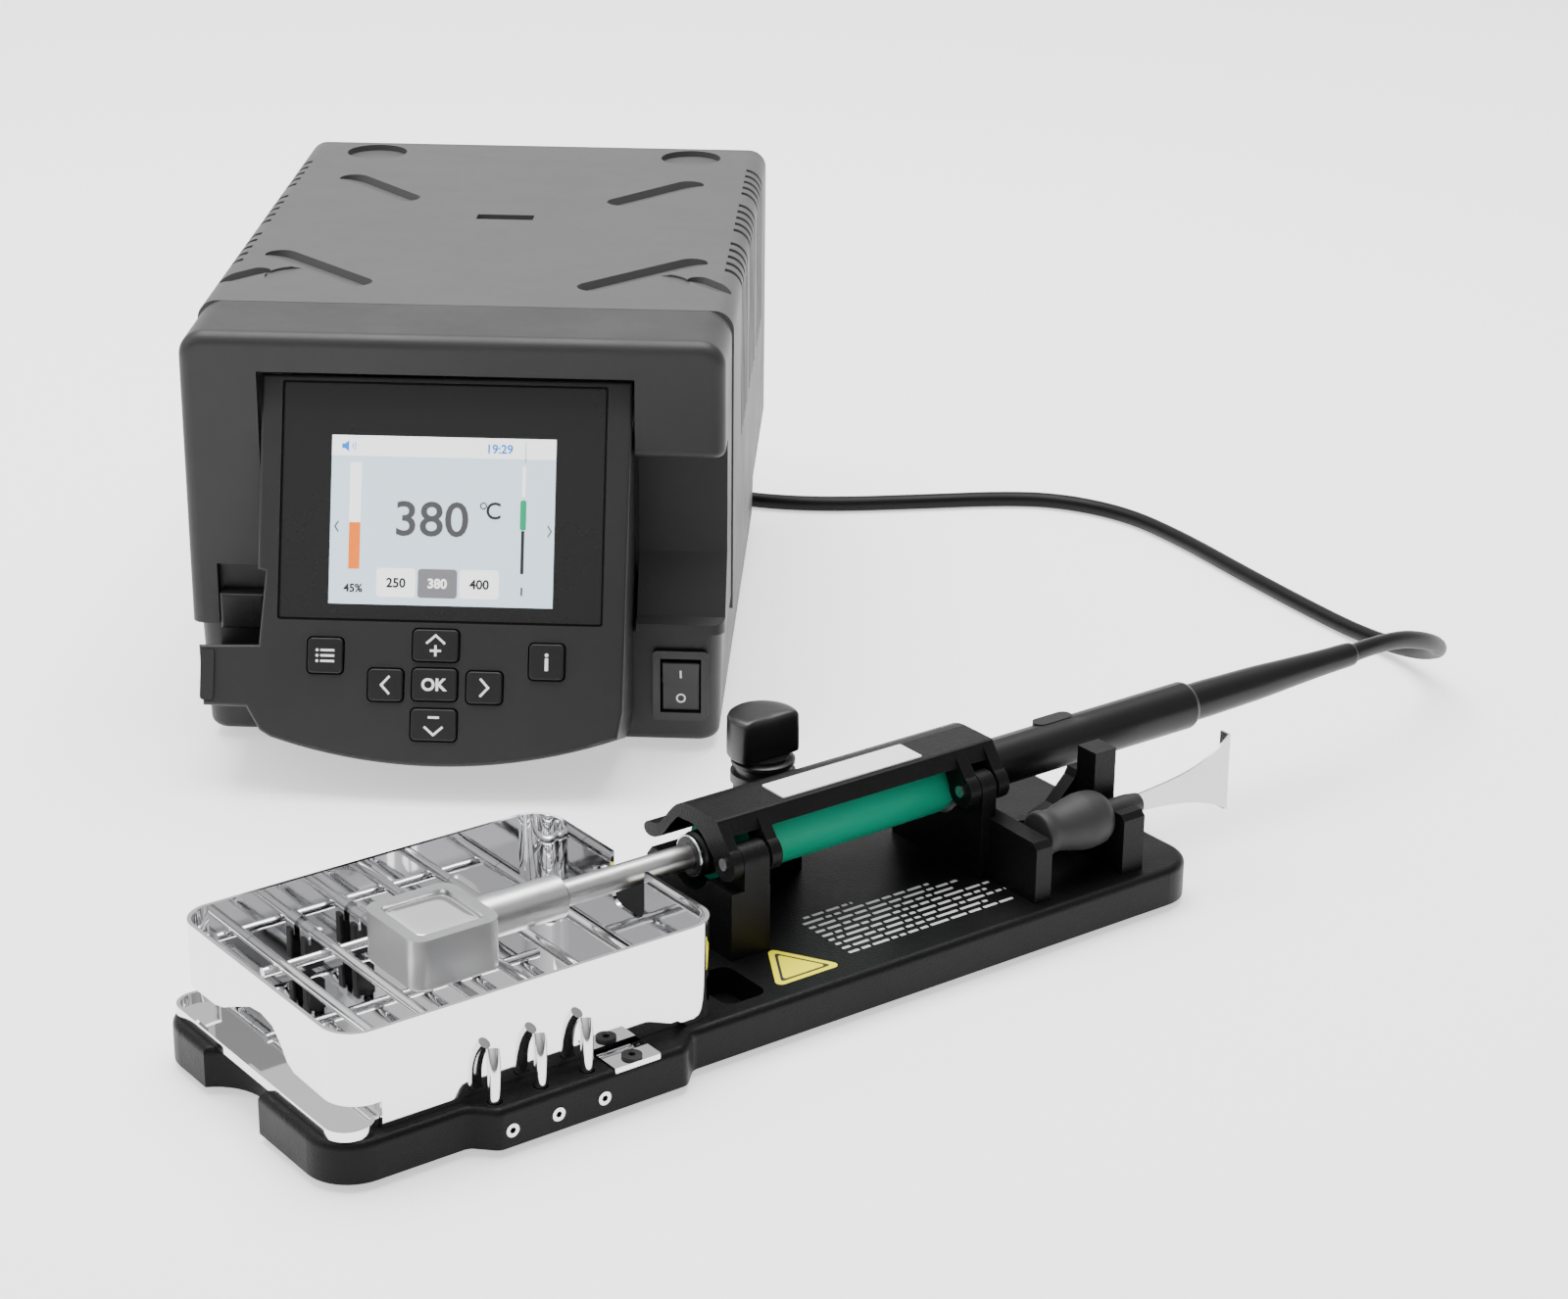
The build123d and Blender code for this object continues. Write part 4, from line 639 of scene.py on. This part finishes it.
# ---------------------------------------------------------------- control unit
@dataclass
class Screen:
    """The display's picture: places are fractions of its width and height from the top left."""

    width: float = 60.4
    height: float = 45.3
    middle: tuple[float, float] = (-1.9, -40.0)
    skin: float = -0.5
    layer: float = 0.035

    def at(self, a: float, b: float) -> tuple[float, float]:
        """The point of the console's face at fractions a across and b down."""
        return self.middle[0] + (a - 0.5) * self.width, self.middle[1] + (0.5 - b) * self.height

    def block(self, a0: float, a1: float, b0: float, b1: float, r: float = 0.02) -> Array:
        """Outline of a rounded block between two fractions each way."""
        x, y = self.at((a0 + a1) / 2, (b0 + b1) / 2)
        return rounded(x, y, (a1 - a0) * self.width, (b1 - b0) * self.height, r)

    def lines(self, points: list[tuple[float, float]], width: float) -> Array:
        """Outline of a stroke through points given as fractions."""
        return stroke([self.at(a, b) for a, b in points], width)

    def show(self, name: str, outlines: list[Array], finish: Finish, level: int,
             extra: Sequence[Shape] = ()) -> None:
        """Adds one layer of the picture.

        Args:
            name: the layer's name.
            outlines: its flat shapes.
            finish: its material.
            level: how many layers lie under it.
            extra: its type and rings.
        """
        flat = [plates(outlines, CONSOLE, self.skin + level * self.layer, self.layer)] if outlines else []
        keep(as_object("screen_" + name, *joined([*flat, *extra]), finish), "station", "display")

    def text(self, says: str, size: float, a: float, b: float, heavy: float, wide: float = 1.0) -> Shape:
        """Digits at fractions a and b, on the picture's top layer."""
        return lettered(says, size, CONSOLE, self.at(a, b), self.skin + 2 * self.layer, self.layer, heavy, wide)

    def build(self) -> None:
        """Builds the picture from its back layer to its front."""
        self.show("body", [self.block(0, 1, 0.121, 1)], SCREEN_BLUE, 0)
        levels = [(0.2127, 0.386), (0.397, 0.572), (0.583, 0.759)]
        tool = [self.lines([(0.865, 0.02), (0.865, 0.14)], 0.12)]
        self.show("white", [self.block(0, 1, 0, 0.121), self.block(0.084, 0.135, 0.16, 0.515, 0.05),
                            self.block(*levels[0], 0.783, 0.955, 0.9), self.block(*levels[2], 0.783, 0.955, 0.9),
                            self.block(0.852, 0.867, 0.16, 0.345, 0.3)], SCREEN_WHITE, 1)
        self.show("level", [self.block(0.0845, 0.1345, 0.515, 0.792, 0.05)], SCREEN_ORANGE, 1)
        self.show("chosen", [self.block(*levels[1], 0.783, 0.955, 0.9)], SCREEN_KEY, 1)
        self.show("marks", tool + [
            self.lines([(0.037, 0.51), (0.021, 0.542), (0.037, 0.574)], 0.3),
            self.lines([(0.970, 0.512), (0.986, 0.545), (0.970, 0.578)], 0.3),
            self.lines([(0.8595, 0.545), (0.8595, 0.80)], 0.85)], SCREEN_GREY, 2,
            [self.text("C", 6.4, 0.727, 0.43, 0.06, 0.95),
             self.text("250", 3.5, 0.2995, 0.869, 0.1), self.text("400", 3.5, 0.671, 0.869, 0.1),
             self.text("45%", 3.0, 0.108, 0.905, 0.08), self.text("1", 3.0, 0.86, 0.905, 0.08),
             flat_ring(CONSOLE, self.at(0.682, 0.402), 0.95, 0.3, self.skin + 2 * self.layer, self.layer)])
        self.show("digits", [], SCREEN_DIGIT, 2, [self.text("380", 13.1, 0.455, 0.487, 0.14, 1.04)])
        self.show("chosen_digits", [], SCREEN_WHITE, 2, [self.text("380", 3.5, 0.4845, 0.869, 0.12)])
        self.show("grip", [self.block(0.846, 0.873, 0.364, 0.541, 0.55)], SCREEN_GREEN, 2)
        speaker = np.array([self.at(a, b) for a, b in
                            ((0.045, 0.05), (0.045, 0.078), (0.058, 0.078), (0.076, 0.097), (0.076, 0.031),
                             (0.058, 0.05))])
        waves = [self.wave(0.078, 0.064, r) for r in (1.0, 1.7)]
        self.show("sky", [speaker] + waves, SCREEN_SKY, 2, [self.text("19:29", 3.3, 0.752, 0.064, 0.08)])

    def wave(self, a: float, b: float, radius: float) -> Array:
        """One arc of the loudspeaker's sound.

        Args:
            a, b: its centre, as fractions.
            radius: its radius in mm.

        Returns:
            The outline of its line.
        """
        x, y = self.at(a, b)
        angle = np.radians(np.linspace(-38, 38, 9))
        return stroke(np.column_stack([x + radius * np.cos(angle), y + radius * np.sin(angle)]), 0.2)


@dataclass
class Keypad:
    """White signs on the seven keys."""

    keys: dict[str, tuple[float, float]] = field(default_factory=lambda: {
        "menu": (-32.4, -76.7), "up": (-2.7, -73.3), "left": (-16.0, -84.2), "ok": (-2.8, -83.8),
        "right": (10.6, -84.3), "info": (27.2, -77.0), "down": (-2.8, -94.6)})
    top: float = 0.9
    line: float = 0.62

    def signs(self, name: str) -> list[Shape]:
        """The sign of one key.

        Args:
            name: the key.

        Returns:
            Its meshes: strokes for arrows and bars, type for OK and i.
        """
        x, y = self.keys[name]
        flat = []
        if name == "menu":
            for dy in (1.45, 0.0, -1.45):
                flat += [stroke([(x - 1.25, y + dy), (x + 2.5, y + dy)], self.line), disc(x - 2.15, y + dy, 0.4, 12)]
        elif name in ("up", "down"):
            d = 1 if name == "up" else -1
            arrow = [(x - 2.5, y + 0.5 * d), (x, y + 2.7 * d), (x + 2.5, y + 0.5 * d)]
            flat.append(stroke(arrow if d > 0 else arrow[::-1], self.line))
            bar = y - 1.4 if d > 0 else y + 2.0
            flat.append(stroke([(x - 1.5, bar), (x + 1.5, bar)], self.line))
            if d > 0:
                flat.append(stroke([(x, bar - 1.5), (x, bar - 0.32)], self.line))
                flat.append(stroke([(x, bar + 0.32), (x, bar + 1.5)], self.line))
        elif name in ("left", "right"):
            d = -1 if name == "left" else 1
            arrow = [(x - 1.1 * d, y + 2.4), (x + 1.1 * d, y), (x - 1.1 * d, y - 2.4)]
            flat.append(stroke(arrow if d < 0 else arrow[::-1], self.line))
        if flat:
            return [plates(flat, CONSOLE, self.top, INK)]
        says, size = ("OK", 4.5) if name == "ok" else ("i", 7.0)
        return [lettered(says, size, CONSOLE, (x, y), self.top, INK, 0.14)]

    def build(self) -> None:
        """Inks every key."""
        for name in self.keys:
            keep(as_object("mark_" + name, *joined(self.signs(name)), WHITE_INK), "button_" + name, "key_plastic")


@dataclass
class ControlUnit:
    """Signs of the hood, the latch and the power switch."""

    rock: tuple[float, float, float] = (61.2, 8.3, 20.5)
    rest_tilt: float = np.radians(6.0)
    ends_out: float = 4.9
    waist_out: float = 4.0
    half: float = 7.5

    def rocker_face(self, upper: bool) -> Plane:
        """One half of the rocker's face, which is bent at its waist.

        Args:
            upper: whether it is the upper half.

        Returns:
            The face, with the half's middle as origin.
        """
        c, s = np.cos(self.rest_tilt), np.sin(self.rest_tilt)
        along, up = np.array([0, c, s]), np.array([0, -s, c])
        edge, mid = unit(*self.rock) - self.ends_out * along, unit(*self.rock) - self.waist_out * along
        far = edge + (self.half if upper else -self.half) * up
        run = (far - mid) if upper else (mid - far)
        return Plane((mid + far) / 2, np.array([1.0, 0, 0]), run / np.linalg.norm(run))

    def build(self) -> None:
        """Builds the marks and lets them ride their bodies."""
        bar = plates([stroke([(0, -1.25), (0, 1.25)], 0.5)], self.rocker_face(True), 0.0, INK)
        loop = flat_ring(self.rocker_face(False), (0, 0), 1.35, 0.45, 0.0, INK)
        keep(as_object("switch_marks", *joined([bar, loop]), WHITE_INK), "rocker", "black_plastic")
        latch = upright(-1.6)
        arrow = [stroke(line, 0.35) for line in ([(-56.6, 44.2), (-56.6, 38.6)],
                                                 [(-58.2, 40.2), (-56.6, 38.4), (-55.0, 40.2)])]
        keep(as_object("latch_arrow", *plates(arrow, latch, 0.0, 0.05), DARK), "latch", "hood_plastic")


# ---------------------------------------------------------------- stand
@dataclass
class Handset:
    """The round parts along the handset's axis."""

    t: float = 40.5
    z: float = 33.0

    def round_piece(self, name: str, knots: list, finish: Finish, slot: str, *nodes: str, count: int = 70,
                    body: str = "station") -> None:
        """Makes one turned piece from a few knots.

        Args:
            name: the piece's name.
            knots: rows of station and radius, in mm.
            finish: its material.
            slot: its material slot.
            nodes: the CAD nodes it replaces.
            count: rings along it.
            body: the body it rides.
        """
        profile = smooth_profile(np.array(knots, float), count)
        profile = profile[np.concatenate([[True], np.abs(np.diff(profile, axis=0)).sum(1) > 1e-6])]
        points, faces = turned(profile, stand(0, self.t, self.z), ALONG, ACROSS, 72)
        keep(as_object(name, points, faces, finish, True), body, slot, *nodes)

    def build(self) -> None:
        """Builds the grip, the bright ring and the strain relief."""
        self.round_piece("grip_sleeve", [(126.6, 5.4), (126.6, 6.6), (127.0, 7.6), (128.2, 8.15), (131.0, 8.25),
                                         (150.0, 8.15), (194.0, 7.75), (196.6, 7.4), (197.7, 6.8), (197.9, 6.0),
                                         (197.9, 5.4)], GRIP, "grip_foam", "handle_grip", count=120)
        self.round_piece("collar_ring", [(121.3, 3.5), (121.3, 4.9), (121.5, 5.25), (121.9, 5.3), (122.2, 5.2)],
                         BRIGHT, "socket_metal", count=24)
        self.round_piece("collar_face", [(121.0, 3.3), (121.0, 4.4), (121.1, 4.75), (121.4, 4.85), (121.8, 4.6)],
                         GLOSS_BLACK, "handle_plastic", count=24)
        self.round_piece("relief_sleeve", [(282.0, 0.6), (282.0, 4.6), (282.6, 5.0), (288.0, 5.0), (296.0, 4.85),
                                           (308.0, 4.6), (320.0, 4.05), (334.0, 3.5), (342.6, 3.3), (343.8, 3.1),
                                           (344.0, 2.6), (344.0, 0.6)], HANDLE, "rubber", "strain_relief", count=120)


@dataclass
class Knob:
    """The clamp's knob: a half-moon grip over a short neck and a round flange."""

    base: float = 35.7
    height: float = 13.75
    flange: float = 8.15
    neck: float = 6.7
    radius: float = 9.25
    flat: float = 4.3

    def build(self) -> None:
        """Rings in plan, round on the far side and flat on the near one, with a softened corner between.

        A grip ring's radius at angle a is the softened least of the circle's and of flat / sin(a) towards the near
        side. Below it the rings are circles: the flange's, then the neck's.
        """
        angle = full_turn(120)
        near = np.maximum(-np.sin(angle), 1e-3)
        plan = (self.radius ** -22.0 + (self.flat / near) ** -22.0) ** (-1 / 22)
        below = np.array([(0.0, self.flange - 0.5), (0.3, self.flange), (1.2, self.flange), (1.55, self.flange - 0.5),
                          (1.6, self.neck), (2.4, self.neck)])
        grip = np.array([(2.45, 0.7), (2.6, 0.2), (3.0, 0.0), (8.0, 0.0), (12.2, 0.1), (12.9, 0.4), (13.3, 0.9),
                         (13.55, 1.7), (13.7, 3.2), (13.75, 5.5)])
        radii = np.vstack([np.repeat(below[:, 1:], 120, axis=1), np.maximum(plan - grip[:, 1:], 0.4)])
        rise = np.concatenate([below[:, 0], grip[:, 0]])
        ring = np.cos(angle)[:, None] * ALONG + np.sin(angle)[:, None] * ACROSS
        foot = np.array([KNOB_AXIS[0], KNOB_AXIS[1], self.base])
        body = foot + radii[:, :, None] * ring + rise[:, None, None] * UP
        points = np.vstack([foot, body.reshape(-1, 3), foot + self.height * UP])
        piece = as_object("knob_grip", points, lathe_faces(len(rise), 120), GLOSS_BLACK, True)
        piece.data.set_sharp_from_angle(angle=np.radians(38))
        keep(piece, "knob", "black_plastic", "clamp_knob")


@dataclass
class Scraper:
    """The scraper laid in its cradle."""

    t: float = 12.4
    z: float = 26.0

    def build(self) -> None:
        """Builds its soft handle, turned about its own axis."""
        handle = smooth_profile(np.array([(206.8, 0.5), (206.8, 5.0), (207.1, 5.6), (208.2, 5.8), (211.0, 5.35),
                                          (216.5, 6.4), (221.5, 7.25), (224.6, 7.05), (227.0, 6.1), (227.9, 4.9),
                                          (228.0, 3.4), (228.0, 0.5)], float), 120)
        points, faces = turned(handle, stand(0, self.t, self.z), ALONG, ACROSS, 64)
        keep(as_object("scraper_grip", points, faces, SCRAPER_SKIN, True), "scraper", "scraper_rubber",
             "scraper_handle")


@dataclass
class SolderPool:
    """The molten solder in the pot: a flat pool whose edge dips at the walls. Its finish glows faintly, a painted
    highlight that makes the pool look brighter.
    """

    s: float = 50.3
    t: float = 40.5
    z: float = 37.95
    half: tuple[float, float] = (8.62, 8.92)
    deep: float = 7.0

    def build(self) -> None:
        """Rings of a rounded square, |x| and |y| to the seventh power, rising from the wall to the flat middle."""
        share = np.array([0.0, 0.02, 0.06, 0.15, 0.35, 0.55, 0.75, 0.9])
        lift = np.array([-0.7, -0.35, -0.12, -0.02, 0.0, 0.0, 0.0, 0.0])
        angle = full_turn(64)
        c, s = np.cos(angle), np.sin(angle)
        square = (np.abs(c) ** 7 + np.abs(s) ** 7) ** (-1 / 7)
        flat = np.stack([c * square, s * square], axis=-1) * np.array(self.half)
        foot = stand(self.s, self.t, self.z - self.deep)
        rings = [foot + flat @ np.stack([ALONG, ACROSS])]
        for k, up in zip(share, lift):
            rings.append(stand(self.s, self.t, self.z + up) + (1 - k) * flat @ np.stack([ALONG, ACROSS]))
        points = np.vstack([foot, np.stack(rings).reshape(-1, 3), stand(self.s, self.t, self.z)])
        piece = as_object("solder_surface", points, lathe_faces(len(rings), 64), SOLDER_PAINTED_SHINE, True)
        keep(piece, "cartridge", "solder", "solder_pool")


@dataclass
class PostCaps:
    """Bright straps bent over the bars above the two rest posts."""

    at: tuple[float, float] = (37.2, 50.5)
    t: float = 73.6
    width: float = 4.2
    thick: float = 0.6
    bar: float = 1.3
    play: float = 0.04
    legs: float = 2.4

    def build(self) -> None:
        """A strip carried over each bar: down one side, round half a circle about the bar, and down the other."""
        middle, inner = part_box("cross_bars")[1][2] / MM - self.bar, self.bar + self.play
        bend = np.linspace(np.pi, 0, 25)
        shapes = []
        for s in self.at:
            rim = []
            for r in (inner, inner + self.thick):
                arc = np.column_stack([s + r * np.cos(bend), middle + r * np.sin(bend)])
                rim.append(np.vstack([[s - r, middle - self.legs], arc, [s + r, middle - self.legs]]))
            line = np.vstack([rim[0], rim[1][::-1]])
            n, half = len(line), len(rim[0])
            sides = [np.stack([stand(a, self.t + d, z) for a, z in line]) for d in (-self.width / 2, self.width / 2)]
            low = np.arange(n)
            after = np.roll(low, -1)
            faces = np.stack([low, after, after + n, low + n], axis=-1).tolist()
            k = np.arange(half - 1)
            other = n - 1 - k
            faces += np.stack([k, other, other - 1, k + 1], axis=-1).tolist()
            faces += (np.stack([k + 1, other - 1, other, k], axis=-1) + n).tolist()
            shapes.append((np.vstack(sides), faces))
        piece = as_object("post_caps", *joined(shapes), BRIGHT)
        piece.data.set_sharp_from_angle(angle=np.radians(38))
        keep(piece, "station", "mirror_steel")


@dataclass
class DeckPrint:
    """The plain sign and bars printed on the stand's deck."""

    sign: tuple[float, float] = (132.3, 12.2)
    radii: tuple[float, float, float] = (11.4, 8.6, 7.2)
    left: float = 147.0
    stops: tuple[float, ...] = (164.0, 186.0, 193.0, 190.0, 199.0, 196.0, 201.0, 192.0, 198.0)
    first: float = 31.4
    pitch: float = 2.6
    bar: float = 0.95
    gap: float = 0.9

    def build(self) -> None:
        """A bare yellow triangle with a black line inside it, and rows of plain dashes of unequal length."""
        face = deck(12.0)
        angle = np.radians([90, 210, 330])
        corner = np.column_stack([np.cos(angle), np.sin(angle)])
        edge, line, inside = ([self.softened(corner * r, round_r) + np.array(self.sign)]
                              for r, round_r in zip(self.radii, (1.4, 0.6, 0.6)))
        keep(as_object("deck_sign", *plates(edge, face, 0.0, INK), YELLOW_INK), "station", "label")
        keep(as_object("deck_sign_line", *plates(line, face, INK, INK / 2), DARK), "station", "label")
        keep(as_object("deck_sign_inside", *plates(inside, face, INK * 1.5, INK / 2), YELLOW_INK), "station", "label")
        rng = np.random.default_rng(11)
        bars = []
        for row, stop in enumerate(self.stops):
            t = self.first - self.pitch * row
            s = self.left + (2.0 if row == 0 else 0.0)
            while s < stop:
                end = min(s + 1.6 + 5.0 * rng.random() ** 1.5, stop)
                if end - s > 0.6:
                    bars.append(rounded((s + end) / 2, t, end - s, self.bar, 0.2, 3))
                s = end + self.gap
        keep(as_object("deck_bars", *plates(bars, face, 0.0, INK), GREY_INK), "station", "label")

    @staticmethod
    def softened(corners: Array, radius: float, steps: int = 5) -> Array:
        """Rounds a triangle: each corner drawn in by twice the radius, then an arc of a third of a turn.

        Args:
            corners: the three corners round the origin, in mm.
            radius: the round corners' radius.
            steps: points in each arc.

        Returns:
            The outline, anticlockwise.
        """
        turn = np.arctan2(corners[:, 1], corners[:, 0])
        arc = turn[:, None] + np.radians(np.linspace(-60, 60, steps))
        inner = corners * (1 - 2 * radius / np.linalg.norm(corners, axis=1))[:, None]
        return (inner[:, None, :] + radius * np.stack([np.cos(arc), np.sin(arc)], axis=-1)).reshape(-1, 2)


# ---------------------------------------------------------------- cord
@dataclass
class ToolCord:
    """The handset's cord: one smooth line from the strain relief, round a put-away coil, to its connector."""

    diameter: float = 5.0
    coil: tuple[float, float, float] = (5.0, 262.0, 29.0)
    turns: int = 4
    length: float = 1.4
    start: float = 344.0
    swell: float = 1.012

    def coil_points(self) -> Array:
        """Helix of the put-away length: turns beside and on each other, a diameter apart.

        Returns:
            Fourteen points a turn, clockwise from the near side, swollen because the line runs inside them.
        """
        x, y, r = self.coil
        places = [(2.6, 2.65), (-2.6, 2.65), (-2.6, 7.85), (2.6, 7.85)]
        points = []
        for k, (dr, z) in enumerate(places[: self.turns]):
            after = places[k + 1] if k + 1 < self.turns else (dr, z)
            share = np.arange(14) / 14
            ease = np.clip((share - 0.55) / 0.45, 0, 1)
            ease = ease * ease * (3 - 2 * ease)
            radius = (r + dr + (after[0] - dr) * ease) * self.swell
            angle = -np.pi / 2 - 2 * np.pi * share
            high = z + (after[1] - z) * ease
            points.append(np.column_stack([x + radius * np.cos(angle), y + radius * np.sin(angle), high]))
        return np.vstack(points)

    def route(self) -> Array:
        """Lays the cord from the handset along the floor, round the coil and up to the back panel.

        Returns:
            All points of its line, in mm.
        """
        tip = stand(self.start, Handset.t, Handset.z) - UNIT
        out = [tip, (258, 23, 32), (272, 40, 25), (279, 60, 14), (274, 80, 5.5), (261, 100, 2.6), (246, 123, 2.6),
               (228, 153, 2.6), (212, 181, 2.6), (196, 203, 2.6), (176, 215, 2.6), (157, 217, 2.6), (125, 211, 2.6),
               (94, 206, 2.6), (68, 209, 2.6), (44, 221, 2.6), (26, 229, 2.6)]
        back = [(5.5, 230.2, 7.6), (-9.5, 231.2, 6.4), (-22, 238.5, 4.4), (-29, 250, 3.0), (-31, 265, 2.6),
                (-28.5, 282, 2.6), (-24, 298, 2.6), (-13, 314, 2.6), (4, 325, 2.6), (22, 322, 6.5), (32, 310, 20),
                (34.4, 297, 38), (34.1, 279, 54), (34, 257, 62.5), (34, 236, 64)]
        return np.vstack([np.array(out, float), self.coil_points(), np.array(back, float)]) + UNIT

    def build(self) -> None:
        points = self.route() * MM
        curve = bpy.data.curves.new("tool_cord", "CURVE")
        curve.dimensions = "3D"
        line = curve.splines.new("NURBS")
        line.points.add(len(points) - 1)
        line.points.foreach_set("co", np.column_stack([points, np.ones(len(points))]).ravel())
        line.order_u = 3
        line.use_endpoint_u = True
        line.resolution_u = 10
        curve.bevel_depth = self.diameter / 2 * MM
        curve.bevel_resolution = 5
        curve.use_fill_caps = True
        curve.materials.append(CORD_SKIN.make())
        piece = linked("tool_cord", curve)
        keep(piece, "station", "cord_pvc", "cord_front", "cord_coil", "cord_rear")


# ---------------------------------------------------------------- stage
@dataclass(frozen=True)
class SoftBox:
    """A square light: its place and size in metres and its power. A level one faces down, the others the middle."""

    name: str
    place: tuple[float, float, float]
    size: float
    power: float
    level: bool = False


@dataclass
class Studio:
    """Floor, lights and camera."""

    focal: float = 78.2
    eye: tuple[float, float, float] = (122.68, -865.13, 382.89)
    pitch: float = 0.383705
    yaw: float = -0.037954
    roll: float = 0.011062
    horizon: float = 0.2
    zenith: float = 1.6
    left: float = 1.2
    right: float = 0.3
    reach: float = 9000.0
    bend: float = 2500.0
    rise: float = 1500.0
    boxes: tuple[SoftBox, ...] = (SoftBox("top", (-0.1, 0.25, 1.4), 1.3, 48.0, True),
                                  SoftBox("left", (-1.6, -0.3, 0.9), 0.9, 6.0),
                                  SoftBox("right", (1.6, -0.4, 0.8), 0.8, 1.0))

    def floor(self) -> None:
        """A wide pale sheet that curves up at the back, as a studio sweep does."""
        rows, columns = 60, 8
        y = -self.reach + (self.reach + self.bend + self.rise) * np.linspace(0, 1, rows)
        z = -0.05 + np.where(y > self.bend, ((y - self.bend) / self.rise) ** 2 * self.rise, 0.0)
        x = np.linspace(-self.reach, self.reach, columns)
        grid = np.broadcast_arrays(x[None, :], y[:, None], z[:, None])
        points = np.stack(grid, axis=-1).reshape(-1, 3)
        index = np.arange(rows * columns).reshape(rows, columns)
        faces = np.stack([index[:-1, :-1], index[:-1, 1:], index[1:, 1:], index[1:, :-1]], axis=-1).reshape(-1, 4)
        sheet = Finish("studio_floor", (0.86, 0.86, 0.86), (0.85, 0.85, 0.85), rough=(0.6, 0.7), scale=40,
                       relief=0.0, patch=2, specular=0.2, glow=1.0)
        as_object("floor", points, faces.tolist(), sheet, True)

    def lights(self) -> None:
        """A surround that brightens upwards and to the left, a soft box overhead and a weaker one at each side."""
        world = bpy.data.worlds.new("studio")
        bpy.context.scene.world = world
        world.use_nodes = True
        tree = world.node_tree
        add, link = tree.nodes.new, tree.links.new
        back = tree.nodes["Background"]
        back.inputs["Color"].default_value = (1.0, 1.0, 1.0, 1.0)
        where, split, span, fade, gain = (add("ShaderNode" + kind) for kind in (
            "TexCoord", "SeparateXYZ", "MapRange", "MapRange", "Math"))
        link(where.outputs["Generated"], split.inputs[0])
        link(split.outputs["Z"], span.inputs["Value"])
        carry(span, (0.0, 0.8), (self.horizon, self.zenith))
        link(split.outputs["X"], fade.inputs["Value"])
        carry(fade, (-1.0, 1.0), (self.left, self.right))
        gain.operation = "MULTIPLY"
        link(span.outputs["Result"], gain.inputs[0])
        link(fade.outputs["Result"], gain.inputs[1])
        link(gain.outputs[0], back.inputs["Strength"])
        for box in self.boxes:
            lamp = bpy.data.lights.new(box.name, "AREA")
            lamp.shape, lamp.size, lamp.energy = "SQUARE", box.size, box.power
            place = np.array(box.place, float)
            aim = UP if box.level else place / np.linalg.norm(place)
            side = np.cross(np.array([0.0, 1.0, 0.0]) if box.level else UP, aim)
            side /= np.linalg.norm(side)
            linked(box.name, lamp).matrix_world = posed(side, np.cross(aim, side), aim, place)

    def camera(self) -> None:
        """The camera from its solved place, pitch, yaw and roll."""
        cy, sy, cp, sp = np.cos(self.yaw), np.sin(self.yaw), np.cos(self.pitch), np.sin(self.pitch)
        right, ahead = np.array([cy, -sy, 0.0]), np.array([sy, cy, 0.0])
        forward, up = ahead * cp - UP * sp, ahead * sp + UP * cp
        cr, sr = np.cos(self.roll), np.sin(self.roll)
        side, top = right * cr + up * sr, up * cr - right * sr
        lens = bpy.data.cameras.new("camera")
        lens.lens, lens.sensor_width, lens.clip_start, lens.clip_end = self.focal, 36.0, 0.05, 20.0
        holder = linked("camera", lens)
        holder.matrix_world = posed(side, top, -forward, unit(*self.eye) * MM)
        bpy.context.scene.camera = holder

    def build(self) -> None:
        """Sets the stage."""
        self.floor()
        self.lights()
        self.camera()


def main() -> None:
    """Dresses the CAD nodes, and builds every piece."""
    logging.basicConfig(level=logging.INFO)
    Studio().build()
    for node, finish in NODE_FINISH.items():
        dress(node, finish)
    for name in Keypad().keys:
        dress("key_" + name, KEY_SKIN)
    for piece in (Screen(), Keypad(), ControlUnit(), Handset(), Knob(), Scraper(), SolderPool(), PostCaps(),
                  DeckPrint(), ToolCord()):
        piece.build()
    bpy.context.view_layer.update()


if __name__ == "__main__":
    main()
